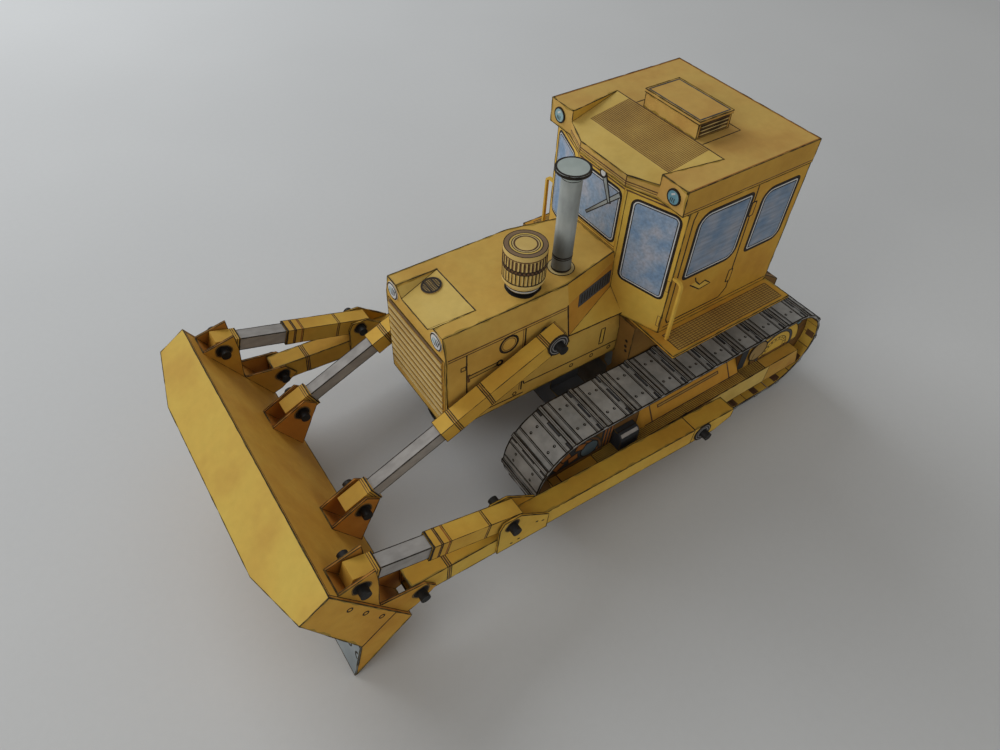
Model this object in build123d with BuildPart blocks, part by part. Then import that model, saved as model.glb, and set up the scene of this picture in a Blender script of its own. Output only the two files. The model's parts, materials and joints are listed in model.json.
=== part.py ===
"""Card model of a tracked bulldozer: folded boxes on skewer pivots, with telescoping square tubes.

Millimetres. +X runs to the blade, +Y to the machine's left, +Z up, and the tracks stand on Z = 0.
"""
import os
from math import atan2, cos, degrees, hypot, pi, sin

from build123d import *

os.makedirs("parts", exist_ok=True)

# Card, glued layers and skewer pivots
CARD = 0.8
PLY = 0.5
RELIEF = 0.35
PIN_RADIUS = 1.5
PIN_FIT = 0.08
PIN_STUB = 2.6
SIDE_PLAY = 0.3
TUBE_PLAY = 0.12

# Tracks, with everything along the machine placed from the rear wheel
TRACK_REAR = -107.1
TRACK_GAUGE = 65.0
TRACK_WIDTH = 17.8
TRACK_HEIGHT = 38.2
WHEEL_BASE = 94.3
SHOE_COUNT = 26
GROUSER_HEIGHT = 0.6
GROUSER_LENGTH = 1.6
CORE_RECESS = 4.9
CORE_INSET = 1.0
CORE_PLAY = 0.12
SPROCKET_RADIUS = 12.6
IDLER_RADIUS = 11.4

# Track frames
BEAM_TOP = 17.5
BEAM_BOTTOM = 9.0
BEAM_FRONT_OVERHANG = 10.6
BEAM_REAR_OVERHANG = 12.6
BEAM_TAPER = 3.0
PANEL_AHEAD = 19.0
PANEL_GAP = 2.5
PANEL_FOOT = 1.2
PANEL_DEPTH = 5.0
PANEL_HEIGHT = 10.9
PANEL_ROUND = 3.4
BOX_BEHIND = 15.8
BOX_LENGTH = 8.0
BOX_DEPTH = 4.0
BOX_HEIGHT = 7.0
BOX_ROUND = 2.0

# Hull between the tracks
HULL_SETBACK = 2.7
HULL_BEHIND = 8.0
HULL_GAP = 0.4
HULL_BOTTOM = 10.0
HULL_SLOPE = 9.0
SUMP_AHEAD = 1.3
SUMP_LENGTH = 11.5
SUMP_HALF = 15.2
SUMP_DEPTH = 6.0
CROSS_DEPTH = 9.0
DRAWBAR_LENGTH = 10.8
DRAWBAR_WIDTH = 10.0
DRAWBAR_THICK = 2.0
DRAWBAR_RISE = 12.0
DRAWBAR_BORE = 1.6

# Deck and cab
DECK_TOP = 52.4
DECK_SETBACK = 3.7
DECK_MARGIN = 0.8
DECK_OUT = 6.6
CAB_AHEAD = 66.5
CAB_LENGTH = 55.5
CAB_BAY = 6.7
CAB_NOSE_HALF = 10.1
CAB_HALF = 28.8
CAB_HEIGHT = 44.8
ROOF_DEPTH = 7.5
ROOF_LIP = 0.3
ROOF_HORN = 3.3
ROOF_HORN_HALF = 19.1
VISOR_LENGTH = 19.8
VISOR_REAR_HALF = 22.3
VISOR_DROP = 3.9
ROOF_LAMP_INSET = 4.1
ROOF_LAMP_DROP = 3.7
ROOF_LAMP_RADIUS = 2.4
VENT_LENGTH = 13.5
VENT_HALF = 11.2
VENT_HEIGHT = 5.5
VENT_LID = 0.9
VENT_EAVE = 0.3
VENT_SLATS = 3
RAIL_SETBACK = 0.5
RAIL_OUT = 3.9
RAIL_HEIGHT = 22.4
RAIL_WIDTH = 1.0
RAIL_THICK = 0.8
RAIL_BEND = 1.6

# Hood
HOOD_LENGTH = 62.5
HOOD_RISE = 22.4
HOOD_HEIGHT = 38.2
HOOD_HALF = 16.6
HOOD_TOP_HALF = 15.0
SHOULDER_DROP = 6.6
WAIST_LENGTH = 21.2
WAIST_TOP_IN = 4.57
WAIST_FOOT_IN = 5.1
WAIST_FOOT_RISE = 9.2
LEDGE_FRONT_BACK = 2.0
LEDGE_FRONT_RISE = 2.0
LEDGE_REAR_RISE = 1.1
SCUTTLE_LENGTH = 13.6
SCUTTLE_HALF = 10.2
SCUTTLE_FLOOR_HALF = 7.2
SCUTTLE_DROP = 2.8
GRILLE_MARGIN = 1.6
GRILLE_RISE = 4.0
GRILLE_DROP = 8.8
GRILLE_SLATS = 9
GRILLE_SLAT = 1.5
HOOD_LAMP_INSET = 3.0
HOOD_LAMP_DROP = 3.3
HOOD_LAMP_RADIUS = 2.8
FILLER_BACK = 8.9
FILLER_MARGIN = 0.4
FILLER_RADIUS = 3.1
CLEANER_AHEAD = 10.9
CLEANER_Y = 8.5
CLEANER_RADIUS = 6.15
CLEANER_NECK = 4.4
CLEANER_FOOT = 3.6
CLEANER_HEIGHT = 14.6
STACK_BEHIND = 3.2
STACK_Y = 7.8
STACK_RADIUS = 2.9
STACK_CAP = 4.9
STACK_HEIGHT = 33.0
HITCH_BACK = 2.0
HITCH_Y = 4.2
HITCH_DROP = 3.8
HITCH_RADIUS = 3.9
HITCH_BORE = 3.0
HITCH_THICK = 1.2

# Push arms, along the line from the trunnion to the blade pin
TRUNNION_AHEAD = 49.0
TRUNNION_Z = 17.3
ARM_REACH = 109.4
ARM_GAP = 1.9
ARM_WIDTH = 6.4
ARM_DEPTH = 6.8
ARM_TAIL = 14.2
ARM_NOSE = 2.6
ARM_TAIL_RISE = 3.6
BRACE_FOOT_BACK = 29.33
BRACE_FOOT_RISE = 8.3
CHEEK_ROUND = 2.8
FOOT_FRONT_RUN = 4.1
FOOT_REAR_RUN = 13.9

# Blade, measured from the blade pin to the corners of its section
BLADE_OVERHANG = 5.1
LIP_SETBACK = 19.7
TIP_DX = 22.8
TIP_DROP = 24.4
KNEE_DX = 19.3
KNEE_DZ = -9.1
HEEL_DX = 4.0
HEEL_DZ = -8.0
CREST_DX = 23.6
CREST_DZ = 26.2
LIP_DX = 36.7
LIP_DZ = 17.6
END_LIP_SHARE = 0.634
BRACE_HEAD_DX = 15.5
BRACE_HEAD_DZ = 20.3
LIFT_HEAD_DX = 2.9
LIFT_HEAD_DZ = 8.5
CHEEK_GAP = 7.0
LIFT_CHEEK_GAP = 6.8
CHEEK = 0.6
BRACKET_FLOOR = 0.3

# Cylinders
LIFT_GAP = 1.4
LIFT_TOP_AHEAD = 7.9
LIFT_TOP_DROP = 13.0
LIFT_TUBE = 5.2
LIFT_ROD = 4.0
LIFT_TUBE_SHARE = 0.585
LIFT_ROD_INSIDE = 18.0
LIFT_EYE_BORE = 2.45
LIFT_EYE_SLOT = 1.2
LIFT_EYE_SIZE = 6.4
LIFT_EYE_NOSE = 3.8
BRACE_TUBE = 5.6
BRACE_ROD = 4.6
BRACE_TUBE_SHARE = 0.561
BRACE_ROD_INSIDE = 16.0
BRACE_EYE_BORE = 1.75
BRACE_EYE_SIZE = 5.6
BRACE_EYE_NOSE = 2.2
EYE_TAIL = 3.6
EYE_SHANK = 5.6


def side(y, origin=(0.0, 0.0), along=(1.0, 0.0)):
    """Plane facing the machine's right at height y, drawn along X and Z from an origin."""
    reach = hypot(along[0], along[1])
    return Plane(
        origin=(origin[0], y, origin[1]),
        x_dir=(along[0] / reach, 0, along[1] / reach),
        z_dir=(0, -1, 0),
    )


def across(x):
    """Plane facing forward at x, drawn along Y and Z."""
    return Plane(origin=(x, 0, 0), x_dir=(0, 1, 0), z_dir=(1, 0, 0))


def level(z):
    """Plane facing up at z."""
    return Plane.XY.offset(z)


def mirrored(source):
    """The same piece on the machine's right."""
    with BuildPart() as twin:
        mirror(source.part, about=Plane.XZ)
    return twin


def paired(source):
    """A piece and its twin on the right, kept as two solids of one node."""
    with BuildPart() as pair:
        add(source.part)
        mirror(source.part, about=Plane.XZ)
    return pair


def save(name, piece):
    """Label a piece and write it out."""
    piece.part.label = name
    export_step(piece.part, f"parts/{name}.step")


def save_sides(name, piece):
    """Write the left piece and its mirror."""
    save(f"{name}_left", piece)
    save(f"{name}_right", mirrored(piece))


def fold(p, q, r, inset):
    """Everything outside the plane through three points in turn, moved in by an inset."""
    along = Vector(*q) - Vector(*p)
    facing = Plane(origin=p, x_dir=along, z_dir=along.cross(Vector(*r) - Vector(*p)))
    with BuildPart(facing.offset(-inset)) as outside:
        Box(4 * HOOD_LENGTH, 4 * HOOD_LENGTH, HOOD_LENGTH, align=(Align.CENTER, Align.CENTER, Align.MIN))
    return outside.part


# Derived positions
rear_wheel = (TRACK_REAR + TRACK_HEIGHT / 2, TRACK_HEIGHT / 2)
front_wheel = (rear_wheel[0] + WHEEL_BASE, TRACK_HEIGHT / 2)
mid_wheel_x = (rear_wheel[0] + front_wheel[0]) / 2
track_inner = TRACK_GAUGE / 2 - TRACK_WIDTH / 2
track_outer = TRACK_GAUGE / 2 + TRACK_WIDTH / 2
hull_half = track_inner - HULL_GAP
deck_half = TRACK_GAUGE / 2 + DECK_OUT
arm_y = track_outer + ARM_GAP + ARM_WIDTH / 2
blade_half = arm_y + BLADE_OVERHANG
lift_y = HOOD_HALF + LIFT_GAP + LIFT_TUBE / 2
core_outer = track_outer - CORE_RECESS
core_inner = track_inner + CORE_INSET
band_outer = TRACK_HEIGHT - 2 * GROUSER_HEIGHT
band_inner = band_outer - 2 * CARD
box_rear = front_wheel[0] - BOX_BEHIND - BOX_LENGTH
panel_rear = rear_wheel[0] + PANEL_AHEAD
panel_length = box_rear - PANEL_GAP - panel_rear
cab_nose = rear_wheel[0] + CAB_AHEAD
cab_shoulder = cab_nose - CAB_BAY
cab_rear = cab_nose - CAB_LENGTH
cab_top = DECK_TOP + CAB_HEIGHT
deck_front = cab_nose - DECK_SETBACK
deck_rear = cab_rear - DECK_MARGIN
roof_top = cab_top + ROOF_DEPTH
roof_nose = cab_nose + ROOF_LIP
roof_front = cab_shoulder + ROOF_HORN
visor_rear = roof_front - VISOR_LENGTH
hull_front = cab_nose - HULL_SETBACK
hull_rear = rear_wheel[0] - HULL_BEHIND
drawbar_z = HULL_BOTTOM + DRAWBAR_RISE
hood_front = cab_nose + HOOD_LENGTH
hood_kink = cab_nose + WAIST_LENGTH
hood_top = DECK_TOP + HOOD_RISE
hood_bottom = hood_top - HOOD_HEIGHT
trunnion = (rear_wheel[0] + TRUNNION_AHEAD, TRUNNION_Z)
blade_pin = (trunnion[0] + ARM_REACH, TIP_DROP)
arm_along = (blade_pin[0] - trunnion[0], blade_pin[1] - trunnion[1])
arm_length = hypot(arm_along[0], arm_along[1])
arm_angle = atan2(arm_along[1], arm_along[0])
brace_foot_s = arm_length - BRACE_FOOT_BACK
brace_foot = (
    trunnion[0] + brace_foot_s * cos(arm_angle) - BRACE_FOOT_RISE * sin(arm_angle),
    trunnion[1] + brace_foot_s * sin(arm_angle) + BRACE_FOOT_RISE * cos(arm_angle),
)
brace_head = (blade_pin[0] + BRACE_HEAD_DX, blade_pin[1] + BRACE_HEAD_DZ)
lift_top = (hood_kink + LIFT_TOP_AHEAD, hood_top - LIFT_TOP_DROP)
lift_head = (blade_pin[0] + LIFT_HEAD_DX, blade_pin[1] + LIFT_HEAD_DZ)


def shoe_place(share):
    """Point and slope on the loop at a share of its length, starting under the rear wheel."""
    radius = band_outer / 2
    half_turn = pi * radius
    run = share * 2 * (WHEEL_BASE + half_turn)
    if run < WHEEL_BASE:
        return rear_wheel[0] + run, rear_wheel[1] - radius, 0.0
    run = run - WHEEL_BASE
    if run < half_turn:
        turn = run / radius
        return front_wheel[0] + radius * sin(turn), front_wheel[1] - radius * cos(turn), degrees(turn)
    run = run - half_turn
    if run < WHEEL_BASE:
        return front_wheel[0] - run, front_wheel[1] + radius, 180.0
    turn = (run - WHEEL_BASE) / radius
    return rear_wheel[0] - radius * sin(turn), rear_wheel[1] + radius * cos(turn), 180.0 + degrees(turn)


# Track bands: a bent strip with one bar standing on each shoe
with BuildPart() as track_band:
    with BuildSketch(side(track_outer)):
        with Locations((mid_wheel_x, rear_wheel[1])):
            SlotCenterToCenter(WHEEL_BASE, band_outer)
            SlotCenterToCenter(WHEEL_BASE, band_inner, mode=Mode.SUBTRACT)
        for shoe in range(SHOE_COUNT):
            place_x, place_z, slope = shoe_place((shoe + 0.5) / SHOE_COUNT)
            with Locations(Location((place_x, place_z, 0), slope)):
                Rectangle(GROUSER_LENGTH, 2 * GROUSER_HEIGHT)
    extrude(amount=TRACK_WIDTH)
save_sides("track_band", track_band)

# Track cores: the closed box inside each band, with sprocket and idler discs, let in for the side panel
with BuildPart() as track_core:
    with BuildSketch(side(core_outer)):
        with Locations((mid_wheel_x, rear_wheel[1])):
            SlotCenterToCenter(WHEEL_BASE, band_inner - 2 * CORE_PLAY)
    extrude(amount=core_outer - core_inner)
    with BuildSketch(side(core_inner)):
        with Locations((hull_front, HULL_BOTTOM)):
            Rectangle(hull_front - rear_wheel[0], HULL_SLOPE, align=(Align.MAX, Align.MIN))
    extrude(amount=core_inner - hull_half)
    with BuildSketch(side(core_outer + PLY)):
        with Locations(rear_wheel):
            Circle(SPROCKET_RADIUS)
        with Locations(front_wheel):
            Circle(IDLER_RADIUS)
        with Locations((mid_wheel_x, (BEAM_TOP + BEAM_BOTTOM) / 2)):
            Rectangle(2 * TRACK_HEIGHT + WHEEL_BASE, BEAM_TOP - BEAM_BOTTOM, mode=Mode.SUBTRACT)
    extrude(amount=PLY)
    with BuildSketch(side(core_outer)):
        with Locations((panel_rear, BEAM_TOP)):
            Rectangle(panel_length, TRACK_HEIGHT, align=(Align.MIN, Align.MIN))
    extrude(amount=PANEL_DEPTH, mode=Mode.SUBTRACT)
save_sides("track_core", track_core)

# Track frame beams along the outside of each core
beam_front = front_wheel[0] + BEAM_FRONT_OVERHANG
beam_rear = rear_wheel[0] - BEAM_REAR_OVERHANG
with BuildPart() as track_beam:
    with BuildSketch(side(track_outer)):
        with BuildLine():
            Polyline(
                (beam_rear, BEAM_BOTTOM),
                (beam_front - BEAM_TAPER, BEAM_BOTTOM),
                (beam_front, BEAM_TOP),
                (beam_rear + BEAM_TAPER, BEAM_TOP),
                close=True,
            )
        make_face()
    extrude(amount=CORE_RECESS)
save_sides("track_beam", track_beam)

# Side panels leaning in from the beams, rounded at their front ends
with BuildPart() as side_panel:
    with BuildSketch(across(panel_rear)):
        with BuildLine():
            Polyline(
                (core_outer + PANEL_FOOT, BEAM_TOP),
                (core_outer - PANEL_DEPTH, BEAM_TOP + PANEL_HEIGHT),
                (core_outer - PANEL_DEPTH, BEAM_TOP),
                close=True,
            )
        make_face()
    extrude(amount=panel_length)
    fillet(side_panel.faces().sort_by(Axis.X)[-1].edges().sort_by(SortBy.LENGTH)[-1], PANEL_ROUND)
save_sides("side_panel", side_panel)

# Black boxes ahead of the side panels
with BuildPart() as side_box:
    with BuildSketch(side(core_outer + BOX_DEPTH)):
        with Locations((box_rear, BEAM_TOP)):
            Rectangle(BOX_LENGTH, BOX_HEIGHT, align=(Align.MIN, Align.MIN))
    extrude(amount=BOX_DEPTH)
    fillet(side_box.edges().filter_by(Axis.X).group_by(Axis.Z)[-1].sort_by(Axis.Y)[-1], BOX_ROUND)
save_sides("side_box", side_box)

# Hull under the cab, sloped up at the back, as a folded closed box
with BuildPart() as hull:
    with BuildSketch(side(hull_half)):
        with BuildLine():
            Polyline(
                (hull_front, HULL_BOTTOM),
                (hull_front, DECK_TOP - CARD),
                (deck_rear, DECK_TOP - CARD),
                (hull_rear, drawbar_z + 2 * HULL_SLOPE),
                (hull_rear, HULL_BOTTOM + HULL_SLOPE),
                (hull_rear + HULL_SLOPE, HULL_BOTTOM),
                close=True,
            )
        make_face()
    extrude(amount=2 * hull_half)
save("hull", hull)

# Sump and cross beam that carry the hood between the tracks
with BuildPart() as sump:
    with BuildSketch(across(hood_kink + SUMP_AHEAD)):
        with Locations((0, hood_bottom)):
            Rectangle(2 * SUMP_HALF, SUMP_DEPTH, align=(Align.CENTER, Align.MAX))
        with Locations((0, hood_bottom - SUMP_DEPTH)):
            Rectangle(2 * hull_half, CROSS_DEPTH, align=(Align.CENTER, Align.MAX))
    extrude(amount=-SUMP_LENGTH)
save("sump", sump)

# Drawbar plate at the back of the hull
with BuildPart() as drawbar:
    with BuildSketch(level(drawbar_z - DRAWBAR_THICK / 2)):
        with Locations((hull_rear - DRAWBAR_LENGTH / 2 + DRAWBAR_WIDTH / 4, 0)):
            Rectangle(DRAWBAR_LENGTH - DRAWBAR_WIDTH / 2, DRAWBAR_WIDTH)
        with Locations((hull_rear - DRAWBAR_LENGTH + DRAWBAR_WIDTH / 2, 0)):
            Circle(DRAWBAR_WIDTH / 2)
            Circle(DRAWBAR_BORE, mode=Mode.SUBTRACT)
    extrude(amount=DRAWBAR_THICK)
save("drawbar", drawbar)

# Deck with the running boards
with BuildPart() as deck:
    with BuildSketch(level(DECK_TOP - CARD)):
        with Locations(((deck_front + deck_rear) / 2, 0)):
            Rectangle(deck_front - deck_rear, 2 * deck_half)
    extrude(amount=CARD)
save("deck", deck)

# Cab walls: one folded wrap with a three-faced front
with BuildPart() as cab_walls:
    with BuildSketch(level(DECK_TOP)) as cab_plan:
        with BuildLine():
            Polyline(
                (cab_nose, CAB_NOSE_HALF),
                (cab_shoulder, CAB_HALF),
                (cab_rear, CAB_HALF),
                (cab_rear, -CAB_HALF),
                (cab_shoulder, -CAB_HALF),
                (cab_nose, -CAB_NOSE_HALF),
                close=True,
            )
        make_face()
    extrude(amount=cab_top - DECK_TOP)
    with BuildSketch(level(DECK_TOP)):
        add(cab_plan.sketch)
        offset(amount=-CARD, kind=Kind.INTERSECTION, mode=Mode.REPLACE)
    extrude(amount=cab_top - DECK_TOP, mode=Mode.SUBTRACT)
save("cab_walls", cab_walls)

# Cab roof: a cap with horned front corners and a sunken visor
with BuildPart() as visor:
    with BuildSketch(level(roof_top)):
        with BuildLine():
            Polyline(
                (visor_rear, VISOR_REAR_HALF),
                (roof_front, ROOF_HORN_HALF),
                (roof_nose, ROOF_HORN_HALF),
                (roof_nose, -ROOF_HORN_HALF),
                (roof_front, -ROOF_HORN_HALF),
                (visor_rear, -VISOR_REAR_HALF),
                close=True,
            )
        make_face()
    extrude(amount=-VISOR_DROP)
    with BuildSketch(side(CAB_HALF)):
        with BuildLine():
            Polyline(
                (visor_rear, roof_top),
                (roof_nose, roof_top),
                (roof_nose, roof_top - VISOR_DROP),
                close=True,
            )
        make_face()
    extrude(amount=2 * CAB_HALF, mode=Mode.INTERSECT)

with BuildPart() as cab_roof:
    with BuildSketch(level(cab_top)):
        with BuildLine():
            Polyline(
                (roof_nose, CAB_NOSE_HALF),
                (roof_front, ROOF_HORN_HALF),
                (roof_front, CAB_HALF + ROOF_LIP),
                (cab_rear, CAB_HALF + ROOF_LIP),
                (cab_rear, -CAB_HALF - ROOF_LIP),
                (roof_front, -CAB_HALF - ROOF_LIP),
                (roof_front, -ROOF_HORN_HALF),
                (roof_nose, -CAB_NOSE_HALF),
                close=True,
            )
        make_face()
    extrude(amount=ROOF_DEPTH)
    add(visor.part, mode=Mode.SUBTRACT)
    with BuildSketch(level(cab_top)):
        with Locations(((cab_shoulder + cab_rear) / 2, 0)):
            Rectangle(CAB_LENGTH - CAB_BAY - 2 * CARD, 2 * (CAB_HALF - CARD))
    extrude(amount=ROOF_DEPTH - VISOR_DROP - CARD, mode=Mode.SUBTRACT)
save("cab_roof", cab_roof)

# Round lamps on the roof horns
with BuildPart() as roof_lamp:
    with BuildSketch(across(roof_front)):
        with Locations((CAB_HALF - ROOF_LAMP_INSET, roof_top - ROOF_LAMP_DROP)):
            Circle(ROOF_LAMP_RADIUS)
    extrude(amount=RELIEF)
save("roof_lamps", paired(roof_lamp))

# Ventilator box behind the visor, with a rimmed lid and slatted ends
vent_mid = visor_rear - VENT_LENGTH / 2
vent_wall = VENT_HEIGHT - VENT_LID
with BuildPart() as roof_vent:
    with BuildSketch(level(roof_top)):
        with Locations((vent_mid, 0)):
            Rectangle(VENT_LENGTH - 2 * VENT_EAVE, 2 * (VENT_HALF - VENT_EAVE))
    extrude(amount=vent_wall)
    with BuildSketch(level(roof_top + vent_wall)):
        with Locations((vent_mid, 0)):
            Rectangle(VENT_LENGTH, 2 * VENT_HALF)
    extrude(amount=VENT_LID)
    slat_pitch = vent_wall / (VENT_SLATS + 1)
    with BuildSketch(side(VENT_HALF - VENT_EAVE + RELIEF / 2)):
        with Locations((vent_mid, roof_top + vent_wall / 2)):
            with GridLocations(1, slat_pitch, 1, VENT_SLATS):
                Rectangle(VENT_LENGTH - 8 * VENT_EAVE, slat_pitch / 2)
    extrude(amount=2 * (VENT_HALF - VENT_EAVE) + RELIEF)
save("roof_vent", roof_vent)

# Hand rails bent over from the deck to the cab's front corners
rail_front = cab_shoulder - RAIL_SETBACK + RAIL_WIDTH / 2
with BuildPart() as hand_rail:
    with BuildSketch(across(rail_front)):
        with BuildLine():
            FilletPolyline(
                (CAB_HALF + RAIL_OUT - RAIL_THICK / 2, DECK_TOP),
                (CAB_HALF + RAIL_OUT - RAIL_THICK / 2, DECK_TOP + RAIL_HEIGHT - RAIL_THICK / 2),
                (CAB_HALF, DECK_TOP + RAIL_HEIGHT - RAIL_THICK / 2),
                radius=RAIL_BEND,
            )
        trace(line_width=RAIL_THICK)
    extrude(amount=-RAIL_WIDTH)
save_sides("hand_rail", hand_rail)

# Fold lines of the hood's left side, where it draws in behind the kink
kink_top = (hood_kink, HOOD_TOP_HALF, hood_top)
kink_shoulder = (hood_kink, HOOD_HALF, hood_top - SHOULDER_DROP)
waist_top = (cab_nose, HOOD_TOP_HALF - WAIST_TOP_IN, hood_top)
waist_foot = (cab_nose, HOOD_HALF - WAIST_FOOT_IN, DECK_TOP + WAIST_FOOT_RISE)
ledge_front = (hood_kink - LEDGE_FRONT_BACK, HOOD_HALF, DECK_TOP + LEDGE_FRONT_RISE)
ledge_rear = (hull_front, HOOD_HALF, DECK_TOP + LEDGE_REAR_RISE)


def hood_body(inset):
    """The hood's outer form moved in by an inset: a prism with its waist cut along the fold lines."""
    strip = fold(kink_top, kink_shoulder, waist_top, inset)
    above_ledge = fold(ledge_front, ledge_rear, waist_foot, inset)
    beside_waist = fold(kink_shoulder, ledge_front, waist_foot, inset) & above_ledge
    with BuildPart() as body:
        with BuildSketch(across(hull_front + inset)):
            with BuildLine():
                Polyline(
                    (HOOD_TOP_HALF - inset, hood_top - inset),
                    (HOOD_HALF - inset, hood_top - SHOULDER_DROP),
                    (HOOD_HALF - inset, hood_bottom + inset),
                    (inset - HOOD_HALF, hood_bottom + inset),
                    (inset - HOOD_HALF, hood_top - SHOULDER_DROP),
                    (inset - HOOD_TOP_HALF, hood_top - inset),
                    close=True,
                )
            make_face()
        extrude(amount=HOOD_LENGTH + HULL_SETBACK - 2 * inset)
        for outside in (strip, beside_waist):
            add(outside, mode=Mode.SUBTRACT)
            add(mirror(outside, about=Plane.XZ, mode=Mode.PRIVATE), mode=Mode.SUBTRACT)
    return body.part


def scuttle(drop):
    """Wedge over the sunken panel at the hood's front edge and its leaning sides, grown by a drop."""
    lean = (SCUTTLE_HALF - SCUTTLE_FLOOR_HALF) / SCUTTLE_DROP
    top_half = SCUTTLE_HALF + drop * hypot(1, lean)
    floor_half = top_half - lean * (SCUTTLE_DROP + drop)
    with BuildPart() as wedge:
        with BuildSketch(across(hood_front)):
            with BuildLine():
                Polyline(
                    (top_half, hood_top),
                    (floor_half, hood_top - drop - SCUTTLE_DROP),
                    (-floor_half, hood_top - drop - SCUTTLE_DROP),
                    (-top_half, hood_top),
                    close=True,
                )
            make_face()
        extrude(amount=-SCUTTLE_LENGTH)
        with BuildSketch(side(HOOD_HALF)):
            with BuildLine():
                Polyline(
                    (hood_front - SCUTTLE_LENGTH, hood_top - drop),
                    (hood_front, hood_top - drop - SCUTTLE_DROP),
                    (hood_front, hood_top),
                    (hood_front - SCUTTLE_LENGTH, hood_top),
                    close=True,
                )
            make_face()
        extrude(amount=2 * HOOD_HALF, mode=Mode.INTERSECT)
    return wedge.part


# Hood: a hollow folded box that narrows to the cab behind its kink
hood_form = hood_body(0)
hood_form_inside = hood_body(CARD)
scuttle_cut = scuttle(0)
scuttle_underside = scuttle(CARD)
with BuildPart() as hood_void:
    add(hood_form_inside)
    add(scuttle_underside, mode=Mode.SUBTRACT)
    with BuildSketch(level(DECK_TOP - CARD)):
        add(cab_plan.sketch)
        offset(amount=CARD, kind=Kind.INTERSECTION, mode=Mode.REPLACE)
    extrude(amount=CAB_HEIGHT, mode=Mode.SUBTRACT)

with BuildPart() as hood:
    add(hood_form)
    add(scuttle_cut, mode=Mode.SUBTRACT)
    with BuildSketch(level(DECK_TOP)):
        add(cab_plan.sketch)
    extrude(amount=CAB_HEIGHT, mode=Mode.SUBTRACT)
    add(hood_void.part, mode=Mode.SUBTRACT)
save("hood", hood)

# Radiator grille: a card with standing slats
grille_height = HOOD_HEIGHT - GRILLE_RISE - GRILLE_DROP
grille_mid = hood_bottom + GRILLE_RISE + grille_height / 2
with BuildPart() as grille:
    with BuildSketch(across(hood_front)):
        with Locations((0, grille_mid)):
            Rectangle(2 * (HOOD_HALF - GRILLE_MARGIN), grille_height)
    extrude(amount=RELIEF)
    with BuildSketch(across(hood_front + RELIEF)):
        with Locations((0, grille_mid)):
            with GridLocations(1, grille_height / GRILLE_SLATS, 1, GRILLE_SLATS):
                Rectangle(2 * (HOOD_HALF - GRILLE_MARGIN), GRILLE_SLAT)
    extrude(amount=RELIEF)
save("grille", grille)

# Round lamps on the hood's front corners
with BuildPart() as hood_lamp:
    with BuildSketch(across(hood_front)):
        with Locations((HOOD_TOP_HALF - HOOD_LAMP_INSET, hood_top - HOOD_LAMP_DROP)):
            Circle(HOOD_LAMP_RADIUS)
    extrude(amount=RELIEF)
save("hood_lamps", paired(hood_lamp))

# Filler cap on the sunken panel, square to its slope
scuttle_reach = hypot(SCUTTLE_LENGTH, SCUTTLE_DROP)
filler_share = (SCUTTLE_LENGTH - FILLER_BACK) / SCUTTLE_LENGTH
filler_room = SCUTTLE_HALF - (SCUTTLE_HALF - SCUTTLE_FLOOR_HALF) * filler_share
filler_y = FILLER_RADIUS + FILLER_MARGIN - filler_room
filler_plane = Plane(
    origin=(hood_front - FILLER_BACK, filler_y, hood_top - SCUTTLE_DROP * filler_share),
    x_dir=(SCUTTLE_LENGTH / scuttle_reach, 0, -SCUTTLE_DROP / scuttle_reach),
    z_dir=(SCUTTLE_DROP / scuttle_reach, 0, SCUTTLE_LENGTH / scuttle_reach),
)
with BuildPart() as filler_cap:
    with BuildSketch(filler_plane):
        Circle(FILLER_RADIUS)
    extrude(amount=RELIEF)
save("filler_cap", filler_cap)

# Air cleaner: a drum on a tapered neck
with BuildPart() as air_cleaner:
    with BuildSketch(side(CLEANER_Y, (hood_kink + CLEANER_AHEAD, hood_top))):
        with BuildLine():
            Polyline(
                (0, 0),
                (CLEANER_NECK, 0),
                (CLEANER_RADIUS, CLEANER_FOOT),
                (CLEANER_RADIUS, CLEANER_HEIGHT),
                (0, CLEANER_HEIGHT),
                close=True,
            )
        make_face()
    revolve(axis=Axis((hood_kink + CLEANER_AHEAD, CLEANER_Y, 0), (0, 0, 1)))
save("air_cleaner", air_cleaner)

# Exhaust stack: a rolled pipe under a flat round cap
with BuildPart() as exhaust_stack:
    with BuildSketch(side(STACK_Y, (hood_kink - STACK_BEHIND, hood_top))):
        with BuildLine():
            Polyline(
                (0, 0),
                (STACK_RADIUS, 0),
                (STACK_RADIUS, STACK_HEIGHT - 2 * PLY),
                (STACK_CAP, STACK_HEIGHT - 2 * PLY),
                (STACK_CAP, STACK_HEIGHT),
                (0, STACK_HEIGHT),
                close=True,
            )
        make_face()
    revolve(axis=Axis((hood_kink - STACK_BEHIND, STACK_Y, 0), (0, 0, 1)))
save("exhaust_stack", exhaust_stack)

# Front towing eye hanging under the hood
with BuildPart() as tow_eye:
    with BuildSketch(across(hood_front - HITCH_BACK)):
        with Locations((HITCH_Y, hood_bottom - HITCH_DROP)):
            Circle(HITCH_RADIUS)
            Circle(HITCH_BORE, mode=Mode.SUBTRACT)
        with Locations((HITCH_Y, hood_bottom + HITCH_RADIUS)):
            Rectangle(3 * HITCH_RADIUS, 2 * HITCH_RADIUS, mode=Mode.SUBTRACT)
    extrude(amount=-HITCH_THICK)
save("tow_eye", tow_eye)


def pin(y_from, y_to, place):
    """A skewer along Y."""
    with BuildPart() as skewer:
        with BuildSketch(side(y_to)):
            with Locations(place):
                Circle(PIN_RADIUS)
        extrude(amount=y_to - y_from)
    return skewer


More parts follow.
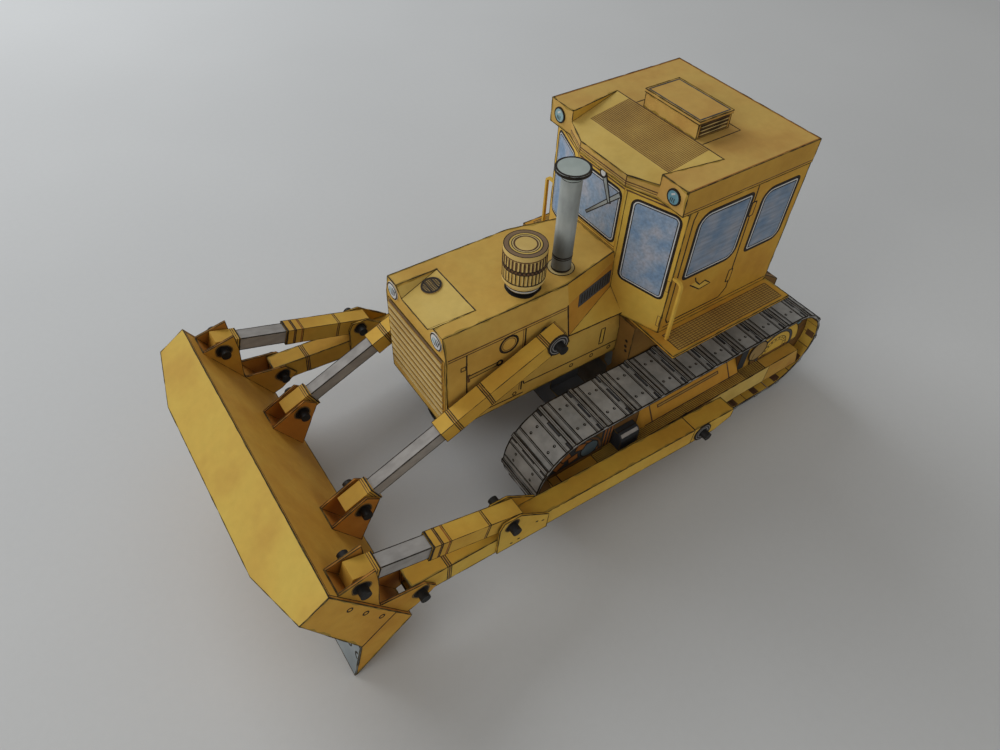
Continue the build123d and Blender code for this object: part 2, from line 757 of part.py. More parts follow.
# Push arms: open-ended square tubes with cheeks for the brace
arm_inner = arm_y - ARM_WIDTH / 2
arm_outer = arm_y + ARM_WIDTH / 2
with BuildPart() as push_arm:
    with BuildSketch(side(arm_outer, trunnion, arm_along)):
        with BuildLine():
            Polyline(
                (-ARM_TAIL, ARM_DEPTH / 2),
                (-ARM_TAIL, ARM_DEPTH / 2 - ARM_TAIL_RISE),
                (-ARM_TAIL / 2, -ARM_DEPTH / 2),
                (arm_length + ARM_NOSE, -ARM_DEPTH / 2),
                (arm_length + ARM_NOSE, ARM_DEPTH / 2),
                close=True,
            )
        make_face()
    extrude(amount=ARM_WIDTH)
    with BuildSketch(side(arm_outer - CARD, trunnion, arm_along)):
        with Locations((ARM_TAIL / 2, 0)):
            Rectangle(
                arm_length + ARM_NOSE - ARM_TAIL / 2,
                ARM_DEPTH - 2 * CARD,
                align=(Align.MIN, Align.CENTER),
            )
    extrude(amount=ARM_WIDTH - 2 * CARD, mode=Mode.SUBTRACT)
    foot_front = brace_foot_s + FOOT_FRONT_RUN
    foot_rear = brace_foot_s - FOOT_REAR_RUN
    for cheek_y in (arm_outer + CHEEK, arm_inner):
        with BuildSketch(side(cheek_y, trunnion, arm_along)):
            with BuildLine():
                Polyline(
                    (foot_rear, -ARM_DEPTH / 2),
                    (foot_front, -ARM_DEPTH / 2),
                    (foot_front, BRACE_FOOT_RISE),
                    (brace_foot_s + CHEEK_ROUND, BRACE_FOOT_RISE + CHEEK_ROUND),
                    (brace_foot_s - CHEEK_ROUND, BRACE_FOOT_RISE + CHEEK_ROUND),
                    (foot_rear, ARM_DEPTH / 2),
                    close=True,
                )
            make_face()
        extrude(amount=CHEEK)
    with BuildSketch(side(arm_outer + CHEEK, trunnion, arm_along)):
        with Locations((0, 0), (arm_length, 0), (brace_foot_s, BRACE_FOOT_RISE)):
            Circle(PIN_RADIUS + PIN_FIT)
    extrude(amount=ARM_WIDTH + 2 * CHEEK, mode=Mode.SUBTRACT)
save_sides("push_arm", push_arm)

# Skewers through the arms, the brace feet and the lift cylinders' upper ends
trunnion_pin = pin(track_outer, arm_outer + SIDE_PLAY + PIN_STUB, trunnion)
save("trunnion_pins", paired(trunnion_pin))
brace_foot_pin = pin(arm_inner - CHEEK - PIN_STUB, arm_outer + CHEEK + PIN_STUB, brace_foot)
save("brace_foot_pins", paired(brace_foot_pin))
lift_top_pin = pin(HOOD_HALF, lift_y + LIFT_TUBE / 2 + SIDE_PLAY + PIN_STUB, lift_top)
save("lift_top_pins", paired(lift_top_pin))


def from_pin(dx, dz):
    """A point of the blade, given from the blade pin."""
    return blade_pin[0] + dx, blade_pin[1] + dz


def back_point(share):
    """A point on the blade's back, as a share from the heel to the crest."""
    return from_pin(
        HEEL_DX + share * (CREST_DX - HEEL_DX),
        HEEL_DZ + share * (CREST_DZ - HEEL_DZ),
    )


def blade_body(inset):
    """The moldboard box moved in by an inset: a prism with its lip drawn back at both ends."""
    end_lip = (
        blade_pin[0] + CREST_DX + END_LIP_SHARE * (LIP_DX - CREST_DX),
        blade_half,
        blade_pin[1] + CREST_DZ + END_LIP_SHARE * (LIP_DZ - CREST_DZ),
    )
    lip_corner = (blade_pin[0] + LIP_DX, blade_half - LIP_SETBACK, blade_pin[1] + LIP_DZ)
    knee_end = (blade_pin[0] + KNEE_DX, blade_half, blade_pin[1] + KNEE_DZ)
    knee_ahead = (blade_pin[0] + LIP_DX, blade_half, blade_pin[1] + KNEE_DZ)
    knee_mid = (blade_pin[0] + KNEE_DX, 0, blade_pin[1] + KNEE_DZ)
    above_knee = fold(knee_mid, knee_ahead, knee_end, 0)
    wing = fold(lip_corner, knee_end, end_lip, inset) & above_knee
    with BuildPart() as body:
        with BuildSketch(side(blade_half - inset)):
            with BuildLine():
                Polyline(
                    from_pin(CREST_DX, CREST_DZ),
                    from_pin(HEEL_DX, HEEL_DZ),
                    from_pin(TIP_DX, -TIP_DROP),
                    from_pin(KNEE_DX, KNEE_DZ),
                    from_pin(LIP_DX, LIP_DZ),
                    close=True,
                )
            make_face()
            if inset > 0:
                offset(amount=-inset, kind=Kind.INTERSECTION, mode=Mode.REPLACE)
        extrude(amount=2 * (blade_half - inset))
        add(wing, mode=Mode.SUBTRACT)
        add(mirror(wing, about=Plane.XZ, mode=Mode.PRIVATE), mode=Mode.SUBTRACT)
    return body.part


# Blade: a hollow folded box with a concave front
blade_form = blade_body(0)
blade_form_inside = blade_body(CARD)
with BuildPart() as blade:
    add(blade_form)
    add(blade_form_inside, mode=Mode.SUBTRACT)
save("blade", blade)

# Cutting edge: a card strip on the lower front
edge_along = (TIP_DX - KNEE_DX, -TIP_DROP - KNEE_DZ)
edge_length = hypot(edge_along[0], edge_along[1])
with BuildPart() as cutting_edge:
    with BuildSketch(side(blade_half, from_pin(KNEE_DX, KNEE_DZ), edge_along)):
        with Locations((PLY, 0)):
            Rectangle(edge_length - PLY, PLY, align=(Align.MIN, Align.MIN))
    extrude(amount=2 * blade_half)
save("cutting_edge", cutting_edge)


def bracket(low, high, nose, centre_y, gap, hole):
    """A folded bracket on the blade's back: a floor from a low to a high share, and two cheeks."""
    foot = back_point(low)
    head = back_point(high)
    floor_along = (head[0] - foot[0], head[1] - foot[1])
    with BuildPart() as folded:
        with BuildSketch(side(centre_y + gap / 2 + CHEEK, foot, floor_along)):
            Rectangle(hypot(*floor_along), BRACKET_FLOOR, align=(Align.MIN, Align.MIN))
        extrude(amount=gap + 2 * CHEEK)
        for cheek_y in (centre_y + gap / 2 + CHEEK, centre_y - gap / 2):
            with BuildSketch(side(cheek_y)):
                with BuildLine():
                    Polyline(head, *nose, foot, close=True)
                make_face()
                with Locations(hole):
                    Circle(PIN_RADIUS + PIN_FIT, mode=Mode.SUBTRACT)
            extrude(amount=CHEEK)
    return folded


# Brackets on the blade's back for the arms, the braces and the lift rods
arm_bracket = bracket(
    0.04,
    0.405,
    [
        from_pin(-CHEEK_ROUND / 2, CHEEK_ROUND + CHEEK),
        from_pin(-1.7 * CHEEK_ROUND, -CHEEK_ROUND / 2),
        from_pin(CHEEK_ROUND / 2, -2 * CHEEK_ROUND),
    ],
    arm_y,
    CHEEK_GAP,
    blade_pin,
)
save("arm_brackets", paired(arm_bracket))
brace_bracket = bracket(
    0.415,
    0.89,
    [
        from_pin(BRACE_HEAD_DX - 1.5 * CHEEK_ROUND, BRACE_HEAD_DZ + 1.5 * CHEEK_ROUND),
        from_pin(BRACE_HEAD_DX - 1.6 * CHEEK_ROUND, BRACE_HEAD_DZ - CHEEK_ROUND / 2),
    ],
    arm_y,
    CHEEK_GAP,
    brace_head,
)
save("brace_brackets", paired(brace_bracket))
lift_bracket = bracket(
    0.07,
    0.45,
    [
        from_pin(LIFT_HEAD_DX - CHEEK_ROUND / 2, LIFT_HEAD_DZ + 1.6 * CHEEK_ROUND),
        from_pin(LIFT_HEAD_DX - 1.8 * CHEEK_ROUND, LIFT_HEAD_DZ + CHEEK_ROUND / 2),
    ],
    lift_y,
    LIFT_CHEEK_GAP,
    lift_head,
)
save("lift_brackets", paired(lift_bracket))

# Skewers carried by the blade's brackets
for pin_name, pin_place, pin_y, pin_gap in (
    ("blade_pins", blade_pin, arm_y, CHEEK_GAP),
    ("brace_head_pins", brace_head, arm_y, CHEEK_GAP),
    ("lift_head_pins", lift_head, lift_y, LIFT_CHEEK_GAP),
):
    face = pin_gap / 2 + CHEEK
    bracket_pin = pin(pin_y - face - PIN_STUB, pin_y + face + PIN_STUB, pin_place)
    save(pin_name, paired(bracket_pin))


def barrel(origin, along, y, size, length, rod):
    """A square tube that turns on its tail pin and is open where the rod goes in."""
    with BuildPart() as tube:
        with BuildSketch(side(y + size / 2, origin, along)):
            with Locations((-EYE_TAIL, 0)):
                Rectangle(length + EYE_TAIL, size, align=(Align.MIN, Align.CENTER))
            Circle(PIN_RADIUS + PIN_FIT, mode=Mode.SUBTRACT)
        extrude(amount=size)
        opening = rod + 2 * TUBE_PLAY
        with BuildSketch(side(y + opening / 2, origin, along)):
            with Locations((EYE_TAIL, 0)):
                Rectangle(length - EYE_TAIL, opening, align=(Align.MIN, Align.CENTER))
        extrude(amount=opening, mode=Mode.SUBTRACT)
    return tube


def rod(origin, along, y, size, start):
    """A square rod along a cylinder's line, ending where its eye begins."""
    reach = hypot(along[0], along[1])
    with BuildPart() as ram:
        with BuildSketch(side(y + size / 2, origin, along)):
            with Locations((start, 0)):
                Rectangle(reach - EYE_SHANK - start, size, align=(Align.MIN, Align.CENTER))
        extrude(amount=size)
    return ram.part


# Lift cylinders from the hood to the blade
lift_along = (lift_head[0] - lift_top[0], lift_head[1] - lift_top[1])
lift_reach = hypot(lift_along[0], lift_along[1])
lift_tube_length = LIFT_TUBE_SHARE * lift_reach
lift_barrel = barrel(lift_top, lift_along, lift_y, LIFT_TUBE, lift_tube_length, LIFT_ROD)
save_sides("lift_barrel", lift_barrel)
with BuildPart() as lift_rod:
    add(rod(lift_top, lift_along, lift_y, LIFT_ROD, lift_tube_length - LIFT_ROD_INSIDE))
    with BuildSketch(side(lift_y + LIFT_TUBE / 2, lift_top, lift_along)):
        with Locations((lift_reach - EYE_SHANK, 0)):
            Rectangle(EYE_SHANK + LIFT_EYE_NOSE, LIFT_EYE_SIZE, align=(Align.MIN, Align.CENTER))
        with Locations((lift_reach, 0)):
            SlotCenterToCenter(LIFT_EYE_SLOT, 2 * LIFT_EYE_BORE, mode=Mode.SUBTRACT)
    extrude(amount=LIFT_TUBE)
save_sides("lift_rod", lift_rod)

# Braces from the arms to the top of the blade
brace_along = (brace_head[0] - brace_foot[0], brace_head[1] - brace_foot[1])
brace_reach = hypot(brace_along[0], brace_along[1])
brace_tube_length = BRACE_TUBE_SHARE * brace_reach
brace_barrel = barrel(brace_foot, brace_along, arm_y, BRACE_TUBE, brace_tube_length, BRACE_ROD)
save_sides("brace_barrel", brace_barrel)
with BuildPart() as brace_rod:
    add(rod(brace_foot, brace_along, arm_y, BRACE_ROD, brace_tube_length - BRACE_ROD_INSIDE))
    with BuildSketch(side(arm_y + BRACE_TUBE / 2, brace_foot, brace_along)):
        with Locations((brace_reach - EYE_SHANK, 0)):
            Rectangle(EYE_SHANK + BRACE_EYE_NOSE, BRACE_EYE_SIZE, align=(Align.MIN, Align.CENTER))
        with Locations((brace_reach, 0)):
            Circle(BRACE_EYE_BORE, mode=Mode.SUBTRACT)
    extrude(amount=BRACE_TUBE)
save_sides("brace_rod", brace_rod)
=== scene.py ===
"""Looks of a hand-tinted card model bulldozer: card, printed line art, painted windows and skewers."""

import json
import math

import bmesh
import bpy
from mathutils import Matrix, Vector, bvhtree, noise

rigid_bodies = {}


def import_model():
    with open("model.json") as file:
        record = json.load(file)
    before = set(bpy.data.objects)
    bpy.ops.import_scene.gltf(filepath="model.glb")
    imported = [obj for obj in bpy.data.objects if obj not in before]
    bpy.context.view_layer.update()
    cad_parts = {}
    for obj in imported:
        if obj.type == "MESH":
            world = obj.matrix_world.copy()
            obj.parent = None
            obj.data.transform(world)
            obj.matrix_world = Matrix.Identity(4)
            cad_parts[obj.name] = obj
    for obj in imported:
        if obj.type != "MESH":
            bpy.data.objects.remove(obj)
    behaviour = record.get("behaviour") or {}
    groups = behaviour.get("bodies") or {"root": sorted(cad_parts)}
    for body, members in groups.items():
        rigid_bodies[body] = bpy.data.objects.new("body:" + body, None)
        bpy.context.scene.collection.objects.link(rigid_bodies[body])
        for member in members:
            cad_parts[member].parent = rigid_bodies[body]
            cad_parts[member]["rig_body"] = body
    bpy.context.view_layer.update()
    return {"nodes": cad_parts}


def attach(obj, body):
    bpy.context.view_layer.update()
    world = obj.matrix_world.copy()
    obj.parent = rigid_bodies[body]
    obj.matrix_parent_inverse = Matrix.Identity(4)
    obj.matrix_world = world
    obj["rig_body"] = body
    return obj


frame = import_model()
nodes = frame["nodes"]
scene = bpy.context.scene
MM = 0.001

# Card surface: blotches of tint, pencil strokes and fibre grain
BLOTCH_FROM, BLOTCH_SPAN = 0.32, 0.36
PENCIL_SCALE, GRAIN_SCALE = 420, 2400
PENCIL_DARK, PENCIL_PALE = (0.62, 0.6, 0.56, 1), (1.12, 1.12, 1.12, 1)
CARD_GLOSS, BUMP_STRENGTH, BUMP_DEPTH = 0.3, 0.22, 0.00012
EVEN = (1, 1, 1)

# Print, in mm: how far it reaches into the card, and the heights of its layers over the card
SUNK = 0.04
FLAT, LOW, LINE, MID, OVER, HIGH, PROUD = 0.03, 0.04, 0.05, 0.06, 0.07, 0.08, 0.09
SHARP = 0.5  # angle between faces, in radians, from which an edge counts as a fold
WAVER, WAVER_SCALE = 0.35, 900  # of a line's width
DRIFT, DRIFT_SCALE = 0.06, 240  # of its path

# Main lines of the model, in mm, as in the CAD
REAR_WHEEL, FRONT_WHEEL, WHEEL_BASE = (-88.0, 19.1), (6.3, 19.1), 94.3
SHOES, TRACK_IN, TRACK_OUT, SHOE_FACE, BAND_INSIDE = 26, 23.6, 41.4, 18.5, 17.7
CORE_Y, BEAM_TOP, BEAM_LOW, BEAM_REAR, BEAM_FRONT = 36.5, 17.5, 9.0, -82.0, 12.6
HULL_FRONT, HULL_BACK = -24.2, -96.0
HOOD_FRONT, HOOD_SIDE, HOOD_TOP = 41.0, 16.6, 74.8
NOSE, KINK, DECK_TOP, ROOF_TOP, VENT_TOP = -21.5, -0.3, 52.4, 104.7, 110.2
CAB_SIDE, CAB_BACK, ROOF_SIDE = 28.8, -77.0, 29.1
CLEANER, CLEANER_TOP, PLEATS = (10.6, 8.5), 89.4, 34
STACK, STACK_TOP = (-3.5, 7.8), 107.8
ARM_Y, LIFT_Y, ARM_CHEEK, LIFT_CHEEK = 46.5, 20.6, 4.1, 4.0
TRUNNION, BLADE_PIN = (-39.0, 17.3), (70.4, 24.4)
BRACE_FOOT, BRACE_HEAD = (40.594, 30.783), (85.9, 44.7)
LIFT_TOP, LIFT_HEAD = (7.6, 61.8), (73.3, 32.9)
CREST, HEEL, KNEE, TIP, LIP = (94.0, 50.6), (74.4, 16.4), (89.7, 15.3), (93.2, 0.0), (107.1, 42.0)
BLADE_END, LIP_END, LIP_SHARE = 51.6, 31.9, 0.634
BOLT = (0.4, 0.75)  # radii of a drawn bolt
ROUND_NODES = ("air_cleaner", "exhaust_stack", "filler_cap", "roof_lamps", "tow_eye")
PLAIN_NODES = ("grille", "hand_rail", "lift_rod", "brace_rod")
SHADED_NODES = ("hood", "cab_roof", "cab_walls", "blade", "roof_vent")
SHADED_NODES += ("push_arm_left", "push_arm_right", "deck")


def srgb(*colour):
    """A colour from 0 to 255 as it is seen, in Blender's linear values."""
    parts = [c / 255 for c in colour]
    return (*(c / 12.92 if c <= 0.04045 else ((c + 0.055) / 1.055) ** 2.4 for c in parts), 1.0)


def paper(name, tints, size=14.0, stroke=EVEN, lean=(0, 0, 0), pencil=0.16, rough=(0.62, 0.86), lower_darkening=None):
    """Tinted card: blotches of a few tints, pencil strokes, fibre grain, and optionally darker towards the
    bottom.

    The size of the blotches and the heights between which it darkens are in mm."""
    m = bpy.data.materials.new(name)
    m.use_nodes = True
    n, link = m.node_tree.nodes, m.node_tree.links

    def feed(made, inputs):
        for key, value in inputs.items():
            if isinstance(value, bpy.types.NodeSocket):
                link.new(value, made.inputs[key])
            else:
                made.inputs[key].default_value = value

    def node(kind, inputs):
        made = n.new(f"ShaderNode{kind}")
        feed(made, inputs)
        return made

    def texture(scale, detail, stretch):
        place = node("Mapping", {"Scale": stretch, "Rotation": lean, "Vector": coord})
        tex = node("TexNoise", {"Scale": scale, "Detail": detail, "Vector": place.outputs[0]})
        return tex.outputs["Fac"]

    def multiply(factor, a, b):
        made = node("Mix", {})
        made.data_type, made.blend_type = "RGBA", "MULTIPLY"
        feed(made, {0: factor, 6: a, 7: b})
        return made.outputs[2]

    def ramp(source, stops):
        made = node("ValToRGB", {"Fac": source})
        bar = made.color_ramp.elements
        while len(bar) < len(stops):
            bar.new(0.5)
        for spot, (position, colour) in zip(bar, stops):
            spot.position, spot.color = position, colour
        return made.outputs["Color"]

    coord = node("TexCoord", {}).outputs["Object"]
    span = BLOTCH_SPAN / max(1, len(tints) - 1)
    stops = [(BLOTCH_FROM + span * i, srgb(*t)) for i, t in enumerate(tints)]
    colour = ramp(texture(1000 / size, 3, EVEN), stops)
    strokes = ramp(texture(PENCIL_SCALE, 4, stroke), [(0.3, PENCIL_DARK), (0.72, PENCIL_PALE)])
    colour = multiply(pencil, colour, strokes)
    if lower_darkening:
        low, high, shade = lower_darkening
        height = node("SeparateXYZ", {0: coord}).outputs["Z"]
        band = node("MapRange", {"Value": height, "From Min": high * MM, "From Max": low * MM})
        band.interpolation_type = "SMOOTHSTEP"
        colour = multiply(band.outputs[0], colour, srgb(*shade))
    grain = texture(GRAIN_SCALE, 3, EVEN)
    shine = node("MapRange", {"Value": grain, "To Min": rough[0], "To Max": rough[1]})
    bump = node("Bump", {"Strength": BUMP_STRENGTH, "Distance": BUMP_DEPTH, "Height": grain})
    card = {"Base Color": colour, "Roughness": shine.outputs[0], "Normal": bump.outputs[0]}
    feed(n["Principled BSDF"], {"Specular IOR Level": CARD_GLOSS, **card})
    return m


# Tints of the card, named by what they are painted on
TINTS = dict(
    hood=[(192, 150, 66), (202, 162, 76), (208, 172, 84)],
    # lemon: a paler yellow; on the hand rails, the bay, the cab's front, the visor's walls and the arms'
    # outer sides it is painted light
    lemon=[(204, 160, 62), (211, 171, 70), (214, 179, 78)],
    # straw: a pale yellow; on the hood recess's side walls it is painted light
    straw=[(198, 166, 84), (206, 176, 94), (210, 182, 102)],
    cab=[(188, 138, 46), (198, 150, 52), (202, 158, 58)],
    roof=[(190, 148, 76), (198, 160, 84), (200, 166, 88)],
    blade=[(194, 156, 70), (202, 168, 76), (204, 174, 80)],
    mustard=[(192, 140, 50), (202, 152, 58), (208, 162, 66)],
    arm=[(190, 142, 46), (200, 154, 54), (204, 162, 58)],
    barrel=[(196, 150, 56), (204, 160, 62), (210, 170, 70)],
    bracket=[(164, 106, 38), (178, 122, 46), (186, 136, 56)],
    amber=[(190, 136, 46), (198, 148, 52), (204, 158, 60)],
    orange=[(180, 116, 38), (190, 126, 44), (198, 138, 52)],
    beam=[(176, 128, 50), (188, 144, 60), (194, 154, 68)],
    # panel: on the frame beam's front end it is partly painted light
    panel=[(198, 142, 48), (206, 152, 54), (210, 160, 62)],
    # hull: yellow card darkened to brown: painted shade under the hood and cab
    hull=[(118, 86, 40), (132, 96, 44), (142, 106, 50)],
    # bronze: painted shade on the roof's side bands
    bronze=[(180, 136, 50), (190, 146, 56), (198, 155, 62)],
    # ochre: partly the hood waist's own tint, partly painted shade
    ochre=[(184, 128, 42), (194, 138, 48), (200, 146, 54)],
    track=[(142, 143, 142), (154, 154, 153), (166, 166, 165)],
    rod=[(146, 143, 141), (158, 155, 153), (168, 165, 163)],
    edge=[(120, 127, 131), (130, 138, 142), (142, 149, 152)],
    pipe=[(144, 150, 151), (156, 163, 163), (168, 174, 173)],
    cleaner=[(202, 172, 100), (210, 182, 112), (216, 190, 122)],
    steel=[(58, 60, 64), (70, 73, 78), (84, 86, 90)],
    # box: near black; over the idler it is a painted shadow
    box=[(40, 43, 47), (50, 53, 58), (60, 63, 68)],
    stick=[(18, 17, 17), (26, 25, 25), (36, 35, 34)],
    ink=[(26, 22, 18), (38, 31, 24), (52, 42, 30)],
    fold=[(44, 36, 16), (66, 54, 24), (110, 90, 40)],
    brown=[(84, 58, 38), (98, 70, 46), (112, 82, 52)],
    hatch=[(164, 130, 62), (176, 142, 68), (184, 152, 76)],
    rust=[(140, 84, 36), (152, 96, 44), (162, 108, 52)],
    # umber: a dark brown, partly the track cores' own brown and partly painted shade
    umber=[(92, 64, 32), (110, 78, 38), (126, 92, 46)],
    shade=[(84, 78, 70), (98, 91, 82), (112, 104, 94)],
    slate=[(60, 74, 84), (76, 92, 102), (94, 110, 118)],
    tan=[(148, 122, 76), (158, 132, 86), (166, 140, 94)],
    halo=[(100, 78, 40), (118, 92, 46), (136, 106, 54)],
    smudge=[(16, 15, 14), (24, 21, 19), (36, 30, 24)],
    glass=[(110, 136, 168), (126, 146, 172), (138, 152, 174), (150, 158, 174)],
    olive=[(150, 120, 46), (160, 130, 52), (172, 142, 60)],
    taupe=[(118, 96, 72), (130, 106, 80), (142, 116, 88)],
    teal=[(96, 140, 156), (122, 160, 172), (160, 190, 196)],
    # A paler, bluer copy of the glass for the panes that face the light: painted light
    sky=[(122, 150, 184), (140, 162, 190), (154, 168, 190), (168, 174, 190)],
    chalk=[(186, 188, 190), (204, 206, 208), (216, 216, 214)],
    cream=[(196, 172, 116), (208, 186, 130), (214, 194, 142)],
    capgreen=[(150, 162, 160), (162, 173, 170), (172, 182, 178)],
)
PANE = dict(size=5.0, stroke=(0.3, 3, 3), pencil=0.6, rough=(0.5, 0.75))
FINISH = dict(
    glass=dict(PANE, lean=(0.0, 0.7, 0.6)),
    sky=dict(PANE, lean=(0.3, 0.8, 1.2)),
    blade=dict(size=17, pencil=0.14),
    track=dict(size=5, pencil=0.34),
    rod=dict(size=6, stroke=(0.4, 2, 2), pencil=0.3),
    pipe=dict(size=8, stroke=(2, 2, 0.4), pencil=0.3, lower_darkening=(80.5, 88.0, (176, 172, 168))),
    fold=dict(size=2.6, pencil=0.5),
    ink=dict(size=3, pencil=0.4),
    halo=dict(size=2.0, pencil=0.5),
    smudge=dict(size=2.0, pencil=0.5),
    stick=dict(size=3, stroke=(3, 0.4, 3), pencil=0.5, rough=(0.45, 0.7)),
)
paints = {name: paper(name, tints, **FINISH.get(name, {})) for name, tints in TINTS.items()}

# The card of each CAD node; the pins are sticks
NODE_PAINT = dict(
    air_cleaner="cleaner", arm_brackets="bracket", blade="mustard", brace_brackets="bracket",
    cab_roof="roof", cab_walls="cab", cutting_edge="edge", deck="amber", drawbar="steel",
    # The hand rails' paler lemon is painted light
    exhaust_stack="pipe", filler_cap="tan", grille="hood", hand_rail="lemon", hood="hood",
    # The hull's dark brown is painted shade
    hood_lamps="chalk", hull="hull", lift_barrel="barrel", brace_barrel="barrel",
    lift_brackets="orange", lift_rod="rod", brace_rod="rod", push_arm="arm", roof_lamps="ink",
    roof_vent="roof", side_box="box", side_panel="panel", sump="steel", tow_eye="stick",
    # The track cores' umber is partly their brown and partly painted shade inside the bands
    track_band="track", track_beam="beam", track_core="umber",
)
for name, node in nodes.items():
    stem = name.removesuffix("_left").removesuffix("_right")
    node.data.materials.clear()
    node.data.materials.append(paints[NODE_PAINT.get(stem, "stick")])

heaps = {}


def placed(name, data):
    """A new object in the scene."""
    made = bpy.data.objects.new(name, data)
    scene.collection.objects.link(made)
    return made


def heap(body, paint):
    """The points and faces drawn so far on one body in one paint."""
    return heaps.setdefault((body, paint), ([], []))


class Pad:
    """A flat face to draw on, with its own two directions, in mm."""

    step = 1.3

    def __init__(self, origin, u, v, out, body="machine"):
        self.body = body
        self.origin = Vector(origin)
        self.u, self.v, self.out = (Vector(way).normalized() for way in (u, v, out))

    def at(self, a, b, h):
        return (self.origin + a * self.u + b * self.v + h * self.out) * MM


class Drum:
    """The side of an upright cylinder, or of a cone that widens from its foot: along its girth, and up."""

    body, step = "machine", 0.45

    def __init__(self, centre, radius, foot=0.0, flare=0.0):
        self.centre, self.radius, self.foot, self.flare = centre, radius, foot, flare
        self.girth = 2 * math.pi * radius

    def at(self, a, b, h):
        turn, reach = a / self.radius, self.radius + self.flare * (b - self.foot) + h
        x, y = self.centre
        return Vector((x + reach * math.cos(turn), y + reach * math.sin(turn), b)) * MM

    def band(self, z, width, paint="ink", hi=LINE):
        line(self, 0, z, self.girth, z, width, paint, hi)


class Belt:
    """The face of a track band: along the loop from under the rear wheel, and across."""

    body, step = "machine", 0.9

    def __init__(self, radius, facing):
        self.radius, self.facing = radius, facing
        self.length = 2 * WHEEL_BASE + 2 * math.pi * radius

    def at(self, a, b, h):
        rear, axle = REAR_WHEEL
        half = math.pi * self.radius
        run = a % self.length
        reach = self.radius + h * self.facing
        x, turn = rear + WHEEL_BASE, math.pi
        if run < WHEEL_BASE:
            x, turn = rear + run, 0.0
        elif run < WHEEL_BASE + half:
            turn = (run - WHEEL_BASE) / self.radius
        elif run < 2 * WHEEL_BASE + half:
            x = x - (run - WHEEL_BASE - half)
        else:
            x, turn = rear, math.pi + (run - 2 * WHEEL_BASE - half) / self.radius
        return Vector((x + reach * math.sin(turn), b, axle - reach * math.cos(turn))) * MM


def sweep(faces, start, rows, closed=False):
    """The faces of a strip with four points in each row; an open strip gets its two ends."""
    for i in range(rows if closed else rows - 1):
        j, k = start + 4 * i, start + 4 * ((i + 1) % rows)
        faces.extend((j + c, j + (c + 1) % 4, k + (c + 1) % 4, k + c) for c in range(4))
    if not closed:
        last = start + 4 * (rows - 1)
        faces.append((start + 3, start + 2, start + 1, start))
        faces.append((last, last + 1, last + 2, last + 3))


def stroke(pad, points, width=0.4, paint="ink", hi=LINE, wobble=1.0, closed=False):
    """A drawn line: a thin raised strip whose width and path waver a little."""
    points = [Vector(p) for p in points]
    path = []
    ends = points[1:] + points[:1] if closed else points[1:]
    for a, b in zip(points, ends):
        parts = max(1, math.ceil((b - a).length / pad.step))
        path.extend(a.lerp(b, i / parts) for i in range(parts))
    if not closed:
        path.append(points[-1])
    verts, faces = heap(pad.body, paint)
    start, count = len(verts), len(path)
    for i, p in enumerate(path):
        before = path[i - 1] if i or closed else p
        after = path[(i + 1) % count] if i < count - 1 or closed else p
        along = (after - before).normalized()
        side = Vector((-along.y, along.x))
        spot = pad.at(p.x, p.y, 0)
        half = width / 2 * (1 + WAVER * wobble * noise.noise(spot * WAVER_SCALE))
        p = p + side * DRIFT * wobble * noise.noise(spot * DRIFT_SCALE + Vector((7, 3, 1)))
        for s, h in ((-half, -SUNK), (half, -SUNK), (half, hi), (-half, hi)):
            verts.append(pad.at(p.x + side.x * s, p.y + side.y * s, h))
    sweep(faces, start, count, closed)


def line(pad, a0, b0, a1, b1, width=0.4, paint="ink", hi=LINE, wobble=1.0):
    """A drawn line between two points."""
    stroke(pad, [(a0, b0), (a1, b1)], width, paint, hi, wobble)


def fill(pad, loop, paint, hi=LINE):
    """A painted patch: a thin raised plate with the given outline."""
    verts, faces = heap(pad.body, paint)
    start, count = len(verts), len(loop)
    verts.extend(pad.at(a, b, -SUNK) for a, b in loop)
    verts.extend(pad.at(a, b, hi) for a, b in loop)
    faces.append(tuple(range(start + count - 1, start - 1, -1)))
    faces.append(tuple(range(start + count, start + 2 * count)))
    for i in range(count):
        j = (i + 1) % count
        faces.append((start + i, start + j, start + count + j, start + count + i))


def circle(centre, radius, long=1.0, parts=28):
    """Points round a circle, or round an ellipse that is longer by a factor in the first direction."""
    turns = [2 * math.pi * i / parts for i in range(parts)]
    return [(centre[0] + long * radius * math.cos(t), centre[1] + radius * math.sin(t)) for t in turns]


def arc(centre, radius, start, end, parts=10):
    """Points on an arc between two angles in degrees."""
    turns = [math.radians(start + (end - start) * i / parts) for i in range(parts + 1)]
    return [(centre[0] + radius * math.cos(t), centre[1] + radius * math.sin(t)) for t in turns]


def ring(pad, centre, inner, outer, paint="ink", hi=LINE):
    """A drawn ring between two radii."""
    middle = (inner + outer) / 2
    loop = circle(centre, middle, parts=max(10, int(middle * 8)))
    stroke(pad, loop, outer - inner, paint, hi, 0.5, True)


def wedge(pad, start, end, sizes, rim, hi):
    """A tapered grey strip with an inked rim, as a wiper has."""
    start, end = Vector(start), Vector(end)
    along = (end - start).normalized()
    side = Vector((-along.y, along.x))
    for grow, paint, rise in ((rim, "ink", hi), (0.0, "pipe", hi + 0.03)):
        near, far = side * (sizes[0] / 2 + grow), side * (sizes[1] / 2 + grow)
        tail, tip = start - along * grow, end + along * grow
        fill(pad, [tail - near, tip - far, tip + far, tail + near], paint, rise)


